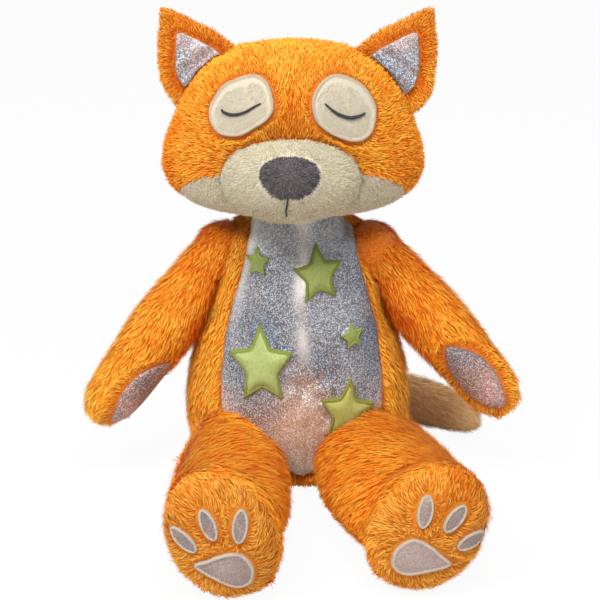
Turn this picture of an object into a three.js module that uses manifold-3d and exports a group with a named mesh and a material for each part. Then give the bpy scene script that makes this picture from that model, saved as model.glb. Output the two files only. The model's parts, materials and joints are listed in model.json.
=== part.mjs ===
// Plush fox that sits with its legs forward, in millimetres.
// It faces -Y, its own left side is +X, and +Z is up.
// The origin is the centre of the flat face under the torso that it sits on.
// Every cover is a sewn shell, open where its limb is sewn on, round a filling of its own.

import * as THREE from "three";
import { mergeVertices } from "three/addons/utils/BufferGeometryUtils.js";
import Module from "manifold-3d";

const wasm = await Module();
wasm.setup();

const degree = Math.PI / 180;

// Fits and cloth
const clearance = 0.3;
const seatClearance = 0.6;
const restClearance = 1.3;
const carveClearance = 2.3;
const coverThickness = 3.2;
const clothThickness = 1.3;
const starThickness = 2.2;
const threadThickness = 0.8;
const standingDepth = 0.5;
const openingShare = 0.45;
const overrun = 480;

// Torso
const torsoHeight = 160;
const torsoWidth = 138;
const torsoDepth = 100;
const torsoWidthDepthHeightShares = [
  [0, 0, 0],
  [0.55, 0.58, 0],
  [0.81, 0.82, 0.008],
  [0.93, 0.94, 0.07],
  [1, 1, 0.23],
  [0.955, 0.965, 0.44],
  [0.81, 0.865, 0.65],
  [0.73, 0.76, 0.82],
  [0.61, 0.62, 0.93],
  [0.38, 0.38, 0.985],
  [0, 0, 1],
];

// Neck: a dome of the torso on which the head turns and nods
const neckBallRadius = 30;
const neckHeightShare = 0.95;
const neckBackShare = 0.04;
const neckOpeningRadius = 11;
const neckFillingRadius = 15;
const neckFillingThickness = 4.5;

// Head
const headHeight = 102;
const headWidth = 158;
const headDepth = 104;
const headSideLean = -2.5;
const headSinkShare = 0.3;
const headWidthDepthHeightShares = [
  [0, 0, 0],
  [0.4, 0.42, 0.003],
  [0.68, 0.71, 0.032],
  [0.84, 0.86, 0.085],
  [0.945, 0.96, 0.17],
  [1, 1, 0.28],
  [0.97, 1, 0.42],
  [0.895, 0.975, 0.575],
  [0.8, 0.91, 0.73],
  [0.67, 0.78, 0.855],
  [0.49, 0.58, 0.945],
  [0.26, 0.31, 0.988],
  [0, 0, 1],
];
const jawSeamHeightShare = 0.39;
const jawSeamSlope = 34 * degree;

// Muzzle, nose and mouth
const muzzleWidth = 82;
const muzzleHeight = 51;
const muzzleDepth = 62;
const muzzleRoundness = 2;
const muzzleLean = -1.2;
const muzzleForwardShare = 0.86;
const muzzleHeightShare = 0.305;
const noseWidth = 33.5;
const noseHeight = 27;
const noseDepth = 21;
const noseRoundness = 2.2;
const noseLean = -0.4;
const noseForwardShare = 0.86;
const noseRiseShare = 0.26;
const mouthLength = 8;
const mouthWidth = 1.3;
const mouthLean = -1.8;
const mouthDropShare = 0.4;

// Eye patches and closed eyelids
const eyePatchLength = 39;
const eyePatchWidth = 31.5;
const eyePatchTilt = 43 * degree;
const eyeSpreadShare = 0.36;
const eyeHeightShares = [0.692, 0.678];
const eyelidLength = 23;
const eyelidSag = 4;
const eyelidWidth = 2.2;
const eyelidTilt = 14 * degree;

// Ears
const earBase = 52;
const earHeight = 46.5;
const earThickness = 7;
const earEdgeRadius = 2.4;
const earTipRadius = 4;
const earTipShiftShare = 0.36;
const earBowShares = [0.9, 0.76];
const earSpreadShare = 0.325;
const earHeightShare = 0.79;
const earSlant = 46 * degree;
const earFoldRange = 25;
const earLiningShare = 0.64;

// Arms
const armLengths = [128, 127];
const armBow = 1.2;
const armRadius = 19.5;
const shoulderBallRadius = 17;
const shoulderSpreadShare = 0.62;
const shoulderHeightShare = 0.85;
const armDrop = [51.3 * degree, 47.5 * degree];
const armForward = 10 * degree;
const armLiftRange = 60;
const armRadiusLengthShares = [
  [0, 0, -0.1],
  [0.6, 0.6, -0.07],
  [0.78, 0.8, 0.04],
  [0.87, 0.9, 0.25],
  [1, 1, 0.48],
  [0.92, 0.9, 0.72],
  [0.84, 0.82, 0.89],
  [0.52, 0.5, 0.98],
  [0, 0, 1],
];
const palmLength = 48;
const palmWidth = 21;
const palmPlaceShare = 0.74;
const palmFacing = [
  [0.75, -1, -0.55],
  [-0.1, -1, 0],
];

// Legs and feet
const legLengths = [135, 127];
const legWidths = [64, 77];
const legHeights = [46, 53];
const hipBallRadius = 24;
const hipSpreadShares = [0.55, 0.6];
const hipForwardShare = 0.64;
const legSplay = [0, 12 * degree];
const legLiftRange = [-18, 22];
const legWidthHeightLengthShares = [
  [0, 0, -0.12],
  [0.5, 0.6, -0.08],
  [0.76, 0.9, 0.02],
  [0.94, 0.98, 0.25],
  [1, 1, 0.5],
  [1.02, 1.02, 0.75],
  [0.9, 0.95, 0.93],
  [0.5, 0.5, 1.03],
  [0, 0, 1.06],
];
const footLength = 75;
const footWidth = 62;
const footThickness = 48;
const footRoundness = 2.5;
const footTurn = [-4 * degree, 8 * degree];
const footTilt = [3 * degree, 10 * degree];
const footRoll = [-28 * degree, 47 * degree];
const soleDepthShare = 0.42;

// Pads of the soles
const padShiftShares = [
  [-0.034, 0.008],
  [0.057, -0.014],
];
const solePadWidth = 24;
const solePadHeight = 21.5;
const solePadDrop = 19;
const solePadPlaceShares = [
  [-0.006, 0.006],
  [0.012, -0.03],
];
const solePadShares = [
  [1, 0.9],
  [0.45, 0.97],
  [-0.06, 0.94],
  [-0.5, 0.83],
  [-0.85, 0.6],
  [-1, 0.1],
  [-0.95, -0.45],
  [-0.55, -0.95],
  [0.05, -0.85],
  [0.5, -0.2],
];
const toePadLength = 16;
const toePadWidth = 7.2;
const toePads = [
  { name: "inner", outwardShare: -0.26, upShare: 0.03, lean: -32 * degree },
  { name: "middle", outwardShare: -0.04, upShare: 0.14, lean: -3 * degree },
  { name: "outer", outwardShare: 0.21, upShare: 0.11, lean: 24 * degree },
];

// Tail
const tailWidth = 34;
const tailRootRadius = 12;
const tailRootSinkShare = 0.25;
const tailRootHeightShare = 0.7;
const tailSpread = 117;
const tailBack = 26;
const tailSwingRange = 40;
const tailTipShare = 0.47;
const tailRouteShares = [
  [0.24, 0.82, 0.62],
  [0.55, 0.86, 0.5],
  [0.82, 0.3, 0.42],
  [1, -0.35, 0.28],
];
const tailRadiusLengthShares = [
  [0, 0, -0.07],
  [0.5, 0.5, -0.05],
  [0.66, 0.66, 0.03],
  [0.86, 0.86, 0.25],
  [1, 1, 0.5],
  [0.9, 0.9, 0.75],
  [0.62, 0.62, 0.92],
  [0.34, 0.34, 0.98],
  [0, 0, 1],
];

// Belly panel and its stars
const bellyWidth = 96;
const bellyHeight = 158;
const bellyBottom = 9;
const bellyShift = 2.5;
const bellyWidthHeightShares = [
  [0.36, 0.065],
  [0.66, 0.12],
  [0.92, 0.19],
  [1, 0.268],
  [0.995, 0.388],
  [0.93, 0.554],
  [0.82, 0.684],
  [0.7, 0.804],
  [0.63, 0.92],
  [0.6, 1],
];
const bellySinkDepth = 1.6;
const starPoints = 5;
const starInnerShare = 0.46;
const starRadius = 17.5;
const stars = [
  { name: "star_top", radiusShare: 0.92, acrossShare: 0.21, upShare: 0.801, turn: 6 * degree },
  { name: "star_right", radiusShare: 1.13, acrossShare: -0.48, upShare: 0.453, turn: 2 * degree },
  { name: "star_left", radiusShare: 1.02, acrossShare: 0.53, upShare: 0.263, turn: -8 * degree },
  { name: "small_star_top", radiusShare: 0.36, acrossShare: -0.53, upShare: 0.822, turn: 0 },
  { name: "small_star_side", radiusShare: 0.36, acrossShare: 0.62, upShare: 0.554, turn: 12 * degree },
];

// Facets
const mainDetail = { rings: 16, sides: 24 };
const limbDetail = { rings: 12, sides: 16 };
const footDetail = { rings: 9, sides: 18 };
const carveDetail = { rings: 12, sides: 16 };
const innerDetail = { rings: 7, sides: 10 };
const ballFacets = 16;
const neckFacets = 24;
const puckRows = 8;
const lensRows = 6;
const curveFacets = 5;
const coverCarveSteps = 4;
const cavityCarveSteps = 2;

const orangePile = { color: 0xf28c1b, roughness: 0.95 };
const creamPile = { color: 0xd9d1b8, roughness: 0.95 };
const tailPile = { color: 0xb99a6b, roughness: 0.95 };
const solePile = { color: 0xd9922a, roughness: 0.95 };
const greyPile = { color: 0x5e5860, roughness: 0.9 };
const patchCloth = { color: 0xddd3bf, roughness: 0.9 };
const darkThread = { color: 0x2a2e33, roughness: 0.6 };
const silverCloth = { color: 0xa7a6b2, roughness: 0.35, metalness: 0.5 };
const starCloth = { color: 0xb5cc6a, roughness: 0.85 };
const padCloth = { color: 0xb9a29c, roughness: 0.5, metalness: 0.2 };
const fibreFilling = { color: 0xf2f0ea, roughness: 1 };

const sides = [
  { name: "right", sign: -1, index: 0 },
  { name: "left", sign: 1, index: 1 },
];

function at(x, y, z) {
  return new THREE.Vector3(x, y, z);
}

// Solids

function solidOf(geometry) {
  const bare = geometry.index ? geometry.toNonIndexed() : geometry.clone();
  for (const name of Object.keys(bare.attributes)) {
    if (name !== "position") bare.deleteAttribute(name);
  }
  const merged = mergeVertices(bare);
  return new wasm.Manifold(
    new wasm.Mesh({
      numProp: 3,
      vertProperties: merged.attributes.position.array,
      triVerts: new Uint32Array(merged.index.array),
    }),
  );
}

function cut(solid, cutters) {
  return cutters.reduce((rest, cutter) => rest.subtract(cutter), solid);
}

function piece(name, solid, look) {
  const mesh = solid.getMesh();
  const geometry = new THREE.BufferGeometry();
  geometry.setAttribute("position", new THREE.Float32BufferAttribute(mesh.vertProperties, 3));
  geometry.setIndex(Array.from(mesh.triVerts));
  geometry.computeVertexNormals();
  const made = new THREE.Mesh(geometry, new THREE.MeshStandardMaterial({ metalness: 0, ...look }));
  made.name = name;
  return made;
}

// A ball whose poles lie on the axis that it turns about, so that its facets clear their seat.
function ball(centre, radius, axis = at(0, 0, 1), facets = ballFacets) {
  const geometry = new THREE.SphereGeometry(radius, facets, facets / 2);
  geometry.applyQuaternion(new THREE.Quaternion().setFromUnitVectors(at(0, 1, 0), axis));
  geometry.translate(centre.x, centre.y, centre.z);
  return solidOf(geometry);
}

// A straight prism of an outline: its x and y run along the frame's first two axes, and it is
// pushed along the third, which the outline faces.
function prism(outline, origin, along, up, depth) {
  const facing = new THREE.Vector3().crossVectors(along, up).normalize();
  const geometry = new THREE.ExtrudeGeometry(outline, {
    depth,
    bevelEnabled: false,
    curveSegments: curveFacets,
  });
  geometry.applyMatrix4(new THREE.Matrix4().makeBasis(along, up, facing).setPosition(origin));
  return solidOf(geometry);
}

// A plane's half space, as a box on the side that its normal points to.
function halfSpace(point, normal) {
  const geometry = new THREE.BoxGeometry(overrun, overrun, overrun);
  geometry.translate(0, 0, overrun / 2);
  geometry.applyQuaternion(new THREE.Quaternion().setFromUnitVectors(at(0, 0, 1), normal));
  geometry.translate(point.x, point.y, point.z);
  return solidOf(geometry);
}

const floor = halfSpace(at(0, 0, 0), at(0, 0, -1));

// Soft forms

// A spine through points, with a level direction across it, that runs on straight past its ends.
function spineThrough(points, across) {
  const curve = new THREE.CatmullRomCurve3(points);
  const length = curve.getLength();
  return {
    length,
    frameAt(distance) {
      const share = THREE.MathUtils.clamp(distance / length, 0, 1);
      const tangent = curve.getTangentAt(share);
      const point = curve.getPointAt(share).addScaledVector(tangent, distance - share * length);
      const up = new THREE.Vector3().crossVectors(tangent, across).normalize();
      return { point, tangent, up, across: new THREE.Vector3().crossVectors(up, tangent) };
    },
  };
}

// A form's rows are its half width, half height and place along its spine, from pole to pole.
// An offset moves its whole surface out, or in where it is negative.
function softGeometry(form, offset, detail) {
  const rows = form.rows.map(([width, height, place]) => at(width, height, place));
  const profile = new THREE.CatmullRomCurve3(rows, false, "centripetal");
  const positions = [];
  const faces = [];
  const last = detail.rings;
  for (let ring = 0; ring <= last; ring += 1) {
    const size = profile.getPointAt(ring / last);
    const slope = profile.getTangentAt(ring / last);
    const widening = (slope.x + slope.y) / 2;
    const reach = Math.hypot(widening, slope.z);
    if (ring === 0 || ring === last) {
      const pole = form.spine.frameAt(size.z + (ring === 0 ? -offset : offset)).point;
      positions.push(pole.x, pole.y, pole.z);
      continue;
    }
    const frame = form.spine.frameAt(size.z - (offset * widening) / reach);
    const halfWidth = Math.max(size.x + (offset * slope.z) / reach, clearance);
    const halfHeight = Math.max(size.y + (offset * slope.z) / reach, clearance);
    for (let side = 0; side < detail.sides; side += 1) {
      const angle = (2 * Math.PI * side) / detail.sides;
      const point = frame.point
        .clone()
        .addScaledVector(frame.up, halfHeight * Math.cos(angle))
        .addScaledVector(frame.across, -halfWidth * Math.sin(angle));
      positions.push(point.x, point.y, point.z);
    }
  }
  const vertex = (ring, side) => 1 + (ring - 1) * detail.sides + (side % detail.sides);
  const end = 1 + (last - 1) * detail.sides;
  for (let side = 0; side < detail.sides; side += 1) {
    faces.push(0, vertex(1, side + 1), vertex(1, side));
    faces.push(end, vertex(last - 1, side), vertex(last - 1, side + 1));
    for (let ring = 1; ring < last - 1; ring += 1) {
      faces.push(vertex(ring, side), vertex(ring, side + 1), vertex(ring + 1, side + 1));
      faces.push(vertex(ring, side), vertex(ring + 1, side + 1), vertex(ring + 1, side));
    }
  }
  const geometry = new THREE.BufferGeometry();
  geometry.setAttribute("position", new THREE.Float32BufferAttribute(positions, 3));
  geometry.setIndex(faces);
  return geometry;
}

function softForm(form, offset = 0, detail = form.detail) {
  return solidOf(softGeometry(form, offset, detail));
}

// The form as it stands when it is turned by each angle about an axis through a centre.
function turnedForms(form, offset, detail, centre, axis, angles) {
  return angles.map((angle) => {
    const geometry = softGeometry(form, offset, detail);
    const matrix = new THREE.Matrix4().makeTranslation(centre);
    matrix.multiply(new THREE.Matrix4().makeRotationAxis(axis, angle * degree));
    matrix.multiply(new THREE.Matrix4().makeTranslation(centre.clone().negate()));
    return solidOf(geometry.applyMatrix4(matrix));
  });
}

function travel(low, high, steps) {
  return Array.from({ length: steps + 1 }, (_, step) => low + ((high - low) * step) / steps);
}

function scaledRows(shares, width, height, length) {
  return shares.map(([a, b, place]) => [a * width, b * height, place * length]);
}

// A puffed disc: its outline is an ellipse, and its edge is as full as its roundness says.
function puck(halfWidth, halfHeight, halfDepth, roundness) {
  const rows = [];
  for (let step = 0; step <= puckRows; step += 1) {
    const place = -Math.cos((Math.PI * step) / puckRows);
    const spread = (1 - Math.abs(place) ** roundness) ** (1 / roundness);
    rows.push([halfWidth * spread, halfHeight * spread, halfDepth * (place + 1)]);
  }
  return rows;
}

// The cloth that lies on a form, between two heights over it, inside a prism.
function clothOn(form, shape, low, high) {
  return softForm(form, high).subtract(softForm(form, low)).intersect(shape);
}

// Outlines

function ellipse(width, height, tilt) {
  const shape = new THREE.Shape();
  shape.absellipse(0, 0, width / 2, height / 2, 0, 2 * Math.PI, false, tilt);
  return shape;
}

function lens(length, width) {
  const shape = new THREE.Shape();
  shape.moveTo(-length / 2, 0);
  shape.quadraticCurveTo(0, -width, length / 2, 0);
  shape.quadraticCurveTo(0, width, -length / 2, 0);
  return shape;
}

function star(radius, turn) {
  const points = [];
  for (let step = 0; step < starPoints * 2; step += 1) {
    const reach = step % 2 === 0 ? radius : radius * starInnerShare;
    const angle = Math.PI / 2 + turn + (Math.PI * step) / starPoints;
    points.push(new THREE.Vector2(reach * Math.cos(angle), reach * Math.sin(angle)));
  }
  return new THREE.Shape(points);
}

// A stroke that sags between its two ends, as thick as its width in the middle.
function crescent(length, sag, width, tilt) {
  const shape = new THREE.Shape();
  const ends = new THREE.Vector2(length / 2, 0).rotateAround(new THREE.Vector2(), tilt);
  const dip = new THREE.Vector2(0, -1).rotateAround(new THREE.Vector2(), tilt);
  shape.moveTo(-ends.x, -ends.y);
  shape.quadraticCurveTo(dip.x * (sag * 2 + width), dip.y * (sag * 2 + width), ends.x, ends.y);
  shape.quadraticCurveTo(dip.x * (sag * 2 - width), dip.y * (sag * 2 - width), -ends.x, -ends.y);
  return shape;
}

// Torso

const torsoForm = {
  spine: spineThrough([at(0, 0, 0), at(0, 0, torsoHeight)], at(1, 0, 0)),
  rows: scaledRows(torsoWidthDepthHeightShares, torsoWidth / 2, torsoDepth / 2, torsoHeight).map(
    ([width, depth, place]) => [width, depth, place - (1 - place / torsoHeight) * standingDepth],
  ),
  detail: mainDetail,
};
const neckCentre = at(0, (torsoDepth / 2) * neckBackShare * 2, torsoHeight * neckHeightShare);
const hips = sides.map(({ sign, index }) =>
  at(
    (sign * hipSpreadShares[index] * torsoWidth) / 2,
    (-hipForwardShare * torsoDepth) / 2,
    hipBallRadius - standingDepth,
  ),
);
const shoulders = sides.map(({ sign }) =>
  at((sign * shoulderSpreadShare * torsoWidth) / 2, 0, shoulderHeightShare * torsoHeight),
);
const tailRoot = at(0, torsoDepth / 2 - tailRootRadius * tailRootSinkShare, tailWidth * tailRootHeightShare);

// Turning by the right-hand rule about its axis lifts a leg or an arm.
const legAxes = legSplay.map((splay) => at(-Math.cos(splay), -Math.sin(splay), 0));
const armAxes = sides.map(({ sign }) => at(0, -sign, 0));

function limbSeats() {
  return [
    ...hips.map((centre, index) => ball(centre, hipBallRadius + seatClearance, legAxes[index])),
    ...shoulders.map((centre, index) => ball(centre, shoulderBallRadius + seatClearance, armAxes[index])),
    ball(tailRoot, tailRootRadius + seatClearance),
  ];
}

function neckBall(spare) {
  return ball(neckCentre, neckBallRadius + spare, at(0, 0, 1), neckFacets);
}

function torsoCavity(spare) {
  const inside = softForm(torsoForm, -coverThickness - spare, innerDetail);
  return inside.add(ball(neckCentre, neckBallRadius - coverThickness - spare));
}

function neckOpening() {
  const geometry = new THREE.CylinderGeometry(neckOpeningRadius, neckOpeningRadius, overrun, ballFacets);
  geometry.rotateX(Math.PI / 2);
  geometry.translate(neckCentre.x, neckCentre.y, neckCentre.z + overrun / 2);
  return solidOf(geometry);
}

function bellyOutline(spare) {
  const side = bellyWidthHeightShares.map(([across, up]) => [
    (across * bellyWidth) / 2 - spare,
    up * (bellyHeight - spare * 2) + spare,
  ]);
  const mirrored = side.map(([across, up]) => [-across, up]).reverse();
  return new THREE.Shape([[0, spare], ...side, ...mirrored].map(([x, y]) => new THREE.Vector2(x, y)));
}

function bellyPrism(spare) {
  return prism(bellyOutline(spare), at(bellyShift, 0, bellyBottom), at(1, 0, 0), at(0, 0, 1), torsoDepth);
}

function torsoCover() {
  const outside = softForm(torsoForm).add(neckBall(0));
  return cut(outside, [torsoCavity(0), floor, neckOpening(), bellyPrism(0), ...limbSeats()]);
}

function bellyPanel() {
  const outside = softForm(torsoForm, -bellySinkDepth).add(neckBall(-bellySinkDepth));
  return cut(outside.intersect(bellyPrism(clearance)), [torsoCavity(0), neckOpening(), ...limbSeats()]);
}

function torsoFilling() {
  return cut(torsoCavity(clearance), limbSeats());
}

function bellyStars() {
  return stars.map(({ name, radiusShare, acrossShare, upShare, turn }) => {
    const centre = at(bellyShift + (acrossShare * bellyWidth) / 2, 0, bellyBottom + upShare * bellyHeight);
    const shape = prism(star(starRadius * radiusShare, turn), centre, at(1, 0, 0), at(0, 0, 1), torsoDepth);
    const low = clearance - bellySinkDepth;
    const cloth = clothOn(torsoForm, shape, low, low + starThickness);
    return piece(name, cut(cloth, limbSeats()), starCloth);
  });
}

// A lens round the neck's centre, between two radii.
function neckLens(inner, outer, radius) {
  const spread = radius / neckBallRadius;
  const profile = [];
  for (let step = 0; step <= lensRows; step += 1) {
    const angle = (spread * step) / lensRows;
    profile.push(new THREE.Vector2(inner * Math.sin(angle), inner * Math.cos(angle)));
  }
  for (let step = lensRows; step >= 0; step -= 1) {
    const angle = (spread * step) / lensRows;
    profile.push(new THREE.Vector2(outer * Math.sin(angle), outer * Math.cos(angle)));
  }
  const geometry = new THREE.LatheGeometry(profile, ballFacets);
  geometry.rotateX(Math.PI / 2);
  geometry.translate(neckCentre.x, neckCentre.y, neckCentre.z);
  return solidOf(geometry);
}

const neckFillingTop = neckBallRadius + neckFillingThickness;

// The filling that bridges the necks of the two covers.
function neckFilling() {
  return neckLens(neckBallRadius + clearance, neckFillingTop, neckFillingRadius);
}

// Head

const headBase = neckCentre.z + neckBallRadius * headSinkShare;
const headForm = {
  spine: spineThrough(
    [at(headSideLean, 0, headBase), at(headSideLean, 0, headBase + headHeight)],
    at(1, 0, 0),
  ),
  rows: scaledRows(headWidthDepthHeightShares, headWidth / 2, headDepth / 2, headHeight),
  detail: mainDetail,
};

function headCavity(spare) {
  return softForm(headForm, -coverThickness - spare, innerDetail);
}

function neckSeat() {
  const lens = neckLens(neckBallRadius / 2, neckFillingTop + clearance, neckFillingRadius + clearance);
  return [neckBall(seatClearance), lens];
}

function belowJawSeam(spare) {
  const normal = at(0, -Math.sin(jawSeamSlope), -Math.cos(jawSeamSlope));
  const point = at(0, -headDepth / 2, headBase + jawSeamHeightShare * headHeight);
  return halfSpace(point.addScaledVector(normal, spare), normal);
}

function headShell() {
  return cut(softForm(headForm), [headCavity(0), ...neckSeat()]);
}

const faceMiddle = at(headSideLean, 0, headBase);

// A puck lying across the face, so that its width runs along X.
function facePuck(centre, [width, height, depth], roundness, detail) {
  const half = at(width / 2, 0, 0);
  return {
    spine: spineThrough([centre.clone().sub(half), centre.clone().add(half)], at(0, 1, 0)),
    rows: puck(depth / 2, height / 2, width / 2, roundness),
    detail,
  };
}

const muzzleCentre = faceMiddle
  .clone()
  .add(at(muzzleLean, (-muzzleForwardShare * headDepth) / 2, muzzleHeightShare * headHeight));
const muzzleSize = [muzzleWidth, muzzleHeight, muzzleDepth];
const muzzleForm = facePuck(muzzleCentre, muzzleSize, muzzleRoundness, limbDetail);

function muzzle() {
  return cut(softForm(muzzleForm), [softForm(headForm, clearance)]);
}

const noseCentre = muzzleCentre
  .clone()
  .add(at(noseLean, (-noseForwardShare * muzzleDepth) / 2, (noseRiseShare * muzzleHeight) / 2));
const noseForm = facePuck(noseCentre, [noseWidth, noseHeight, noseDepth], noseRoundness, footDetail);

function nose() {
  return cut(softForm(noseForm), [softForm(muzzleForm, clearance), softForm(headForm, clearance)]);
}

function mouthStitch() {
  const shape = new THREE.Shape();
  shape.moveTo(-mouthWidth / 2, -mouthLength / 2);
  shape.lineTo(mouthWidth / 2, -mouthLength / 2);
  shape.lineTo(mouthWidth / 2, mouthLength / 2);
  shape.lineTo(-mouthWidth / 2, mouthLength / 2);
  const place = muzzleCentre.clone().add(at(mouthLean, 0, (-mouthDropShare * muzzleHeight) / 2));
  const strip = prism(shape, place, at(1, 0, 0), at(0, 0, 1), muzzleDepth);
  const stitch = clothOn(muzzleForm, strip, clearance, clearance + threadThickness);
  return stitch.subtract(softForm(noseForm, clearance));
}

function eyeCentre({ sign, index }) {
  const rise = eyeHeightShares[index] * headHeight;
  return faceMiddle.clone().add(at((sign * eyeSpreadShare * headWidth) / 2, 0, rise));
}

function eyePatch(side) {
  const outline = ellipse(eyePatchLength, eyePatchWidth, -side.sign * (Math.PI / 2 - eyePatchTilt));
  const shape = prism(outline, eyeCentre(side), at(1, 0, 0), at(0, 0, 1), headDepth);
  return clothOn(headForm, shape, clearance, clearance + clothThickness);
}

function eyelid(side) {
  const outline = crescent(eyelidLength, eyelidSag, eyelidWidth, -side.sign * eyelidTilt);
  const shape = prism(outline, eyeCentre(side), at(1, 0, 0), at(0, 0, 1), headDepth);
  const low = clearance * 2 + clothThickness;
  return clothOn(headForm, shape, low, low + threadThickness);
}

// Ears

// A triangle with bowed sides on its base, its tip shifted towards the middle of the head.
function earOutline(share) {
  const half = (earBase / 2) * share;
  const high = earHeight * share;
  const tip = -half * earTipShiftShare;
  const round = earTipRadius * share;
  const [outer, inner] = earBowShares;
  const shape = new THREE.Shape();
  shape.moveTo(-half, 0);
  shape.lineTo(half, 0);
  shape.quadraticCurveTo(half * outer, high / 2, tip + round, high - round);
  shape.quadraticCurveTo(tip, high + round / 2, tip - round, high - round);
  shape.quadraticCurveTo(-half * inner, high / 2, -half, 0);
  return shape;
}

function earFrame(sign) {
  const outward = at(sign * Math.cos(earSlant), 0, -Math.sin(earSlant));
  const up = at(sign * Math.sin(earSlant), 0, Math.cos(earSlant));
  const base = at(sign * earSpreadShare * headWidth, 0, headBase + earHeightShare * headHeight);
  return { outward, up, base };
}

// The ear's slab, its outline drawn with x from the head's middle outwards.
function earSlab(sign, outline, shift, thickness, bevel) {
  const { outward, up, base } = earFrame(sign);
  const geometry = new THREE.ExtrudeGeometry(outline, {
    depth: thickness - bevel * 2,
    bevelEnabled: bevel > 0,
    bevelThickness: bevel,
    bevelSize: bevel,
    bevelOffset: -bevel,
    bevelSegments: 2,
    curveSegments: curveFacets,
  });
  geometry.translate(0, 0, -thickness / 2 + bevel + shift);
  const facing = at(0, -1, 0);
  geometry.applyMatrix4(new THREE.Matrix4().makeBasis(outward, up, facing).setPosition(base));
  return sign < 0 ? solidOf(reversed(geometry)) : solidOf(geometry);
}

// The same faces wound the other way, for a shape placed by a mirrored frame.
function reversed(geometry) {
  const flipped = geometry.index ? geometry.toNonIndexed() : geometry.clone();
  const points = flipped.attributes.position;
  for (let corner = 0; corner < points.count; corner += 3) {
    const second = at(0, 0, 0).fromBufferAttribute(points, corner + 1);
    const third = at(0, 0, 0).fromBufferAttribute(points, corner + 2);
    points.setXYZ(corner + 1, third.x, third.y, third.z);
    points.setXYZ(corner + 2, second.x, second.y, second.z);
  }
  return flipped;
}

function earCarvers(sign) {
  const { outward, base } = earFrame(sign);
  const angles = travel(-earFoldRange, earFoldRange, 4);
  return turnedForms(headForm, clearance, headForm.detail, base, outward, angles);
}

function earCover(sign, carvers) {
  return cut(earSlab(sign, earOutline(1), 0, earThickness, earEdgeRadius), carvers);
}

function earLining(sign, carvers) {
  const shift = earThickness / 2 + clearance + clothThickness / 2;
  return cut(earSlab(sign, earOutline(earLiningShare), shift, clothThickness, 0), carvers);
}

// Limbs

// The limb's form less the torso as it stands at each angle of the limb's travel, and its ball.
function seatedLimb({ form, centre, radius, axis, range }, spare, detail) {
  const steps = spare < 0 ? cavityCarveSteps : coverCarveSteps;
  const back = travel(...range, steps).map((angle) => -angle);
  const carvers = turnedForms(torsoForm, carveClearance - spare, carveDetail, centre, axis, back);
  const resting = softForm(torsoForm, restClearance - spare);
  return cut(softForm(form, spare, detail), [resting, ...carvers]).add(ball(centre, radius + spare, axis));
}

const armForms = sides.map(({ sign, index }) => {
  const drop = armDrop[index];
  const direction = at(sign * Math.cos(drop), -Math.sin(armForward), -Math.sin(drop)).normalize();
  const root = shoulders[index];
  const length = armLengths[index];
  const tip = root.clone().addScaledVector(direction, length);
  const middle = root.clone().lerp(tip, 0.5).add(at(sign * armBow, 0, armBow));
  return {
    spine: spineThrough([root, middle, tip], at(0, 1, 0)),
    rows: scaledRows(armRadiusLengthShares, armRadius, armRadius, length),
    detail: limbDetail,
  };
});

const armLimbs = armForms.map((form, index) => ({
  form,
  centre: shoulders[index],
  radius: shoulderBallRadius,
  axis: armAxes[index],
  range: [0, armLiftRange],
}));

// The mouth of a limb's cover, where its root is sewn to the torso.
function rootOpening({ form, centre, radius }) {
  const inward = form.spine.frameAt(0).tangent.negate();
  return ball(centre.clone().addScaledVector(inward, radius), radius * openingShare);
}

function armPieces({ name, index }) {
  const form = armForms[index];
  const limb = armLimbs[index];
  const cavity = seatedLimb(limb, -coverThickness, innerDetail);
  const filling = seatedLimb(limb, -coverThickness - clearance, innerDetail);
  const cover = cut(seatedLimb(limb, 0), [cavity, rootOpening(limb)]);
  const frame = form.spine.frameAt(palmPlaceShare * armLengths[index]);
  const facing = at(...palmFacing[index]).normalize();
  const along = frame.tangent.clone().addScaledVector(facing, -frame.tangent.dot(facing)).normalize();
  const up = new THREE.Vector3().crossVectors(facing, along);
  const shape = prism(lens(palmLength, palmWidth), frame.point, along, up, overrun);
  return [
    piece("arm_cover_" + name, cover, orangePile),
    piece("palm_pad_" + name, clothOn(form, shape, clearance, clearance + clothThickness), silverCloth),
    piece("arm_filling_" + name, filling, fibreFilling),
  ];
}

// The foot's frame: which way its sole faces, and which way its toes point.
const feet = sides.map(({ index }) => {
  const splay = legSplay[index];
  const turn = footTurn[index];
  const tilt = footTilt[index];
  const roll = footRoll[index];
  const facing = at(Math.sin(turn) * Math.cos(tilt), -Math.cos(turn) * Math.cos(tilt), Math.sin(tilt));
  const level = at(Math.cos(turn), Math.sin(turn), 0);
  const upright = new THREE.Vector3().crossVectors(level, facing).negate();
  const toes = upright.clone().multiplyScalar(Math.cos(roll)).addScaledVector(level, Math.sin(roll));
  const across = level.clone().multiplyScalar(Math.cos(roll)).addScaledVector(upright, -Math.sin(roll));
  const drop = Math.hypot(footLength * toes.z, footWidth * across.z, footThickness * facing.z) / 2;
  const centre = at(
    hips[index].x + legLengths[index] * Math.sin(splay),
    hips[index].y - legLengths[index] * Math.cos(splay),
    drop - standingDepth,
  );
  const [sideways, rise] = padShiftShares[index];
  const padMiddle = centre
    .clone()
    .addScaledVector(level, sideways * footLength)
    .addScaledVector(upright, rise * footLength);
  return { centre, facing, toes, across, padMiddle };
});

const legForms = sides.map(({ index }) => {
  const root = hips[index];
  const half = [legWidths[index] / 2, legHeights[index] / 2];
  const end = feet[index].centre.clone();
  const middle = root.clone().lerp(end, 0.5);
  middle.z = half[1] - standingDepth;
  return {
    spine: spineThrough([root, middle, end], at(1, 0, 0)),
    rows: scaledRows(legWidthHeightLengthShares, ...half, legLengths[index]),
    detail: limbDetail,
  };
});

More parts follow.
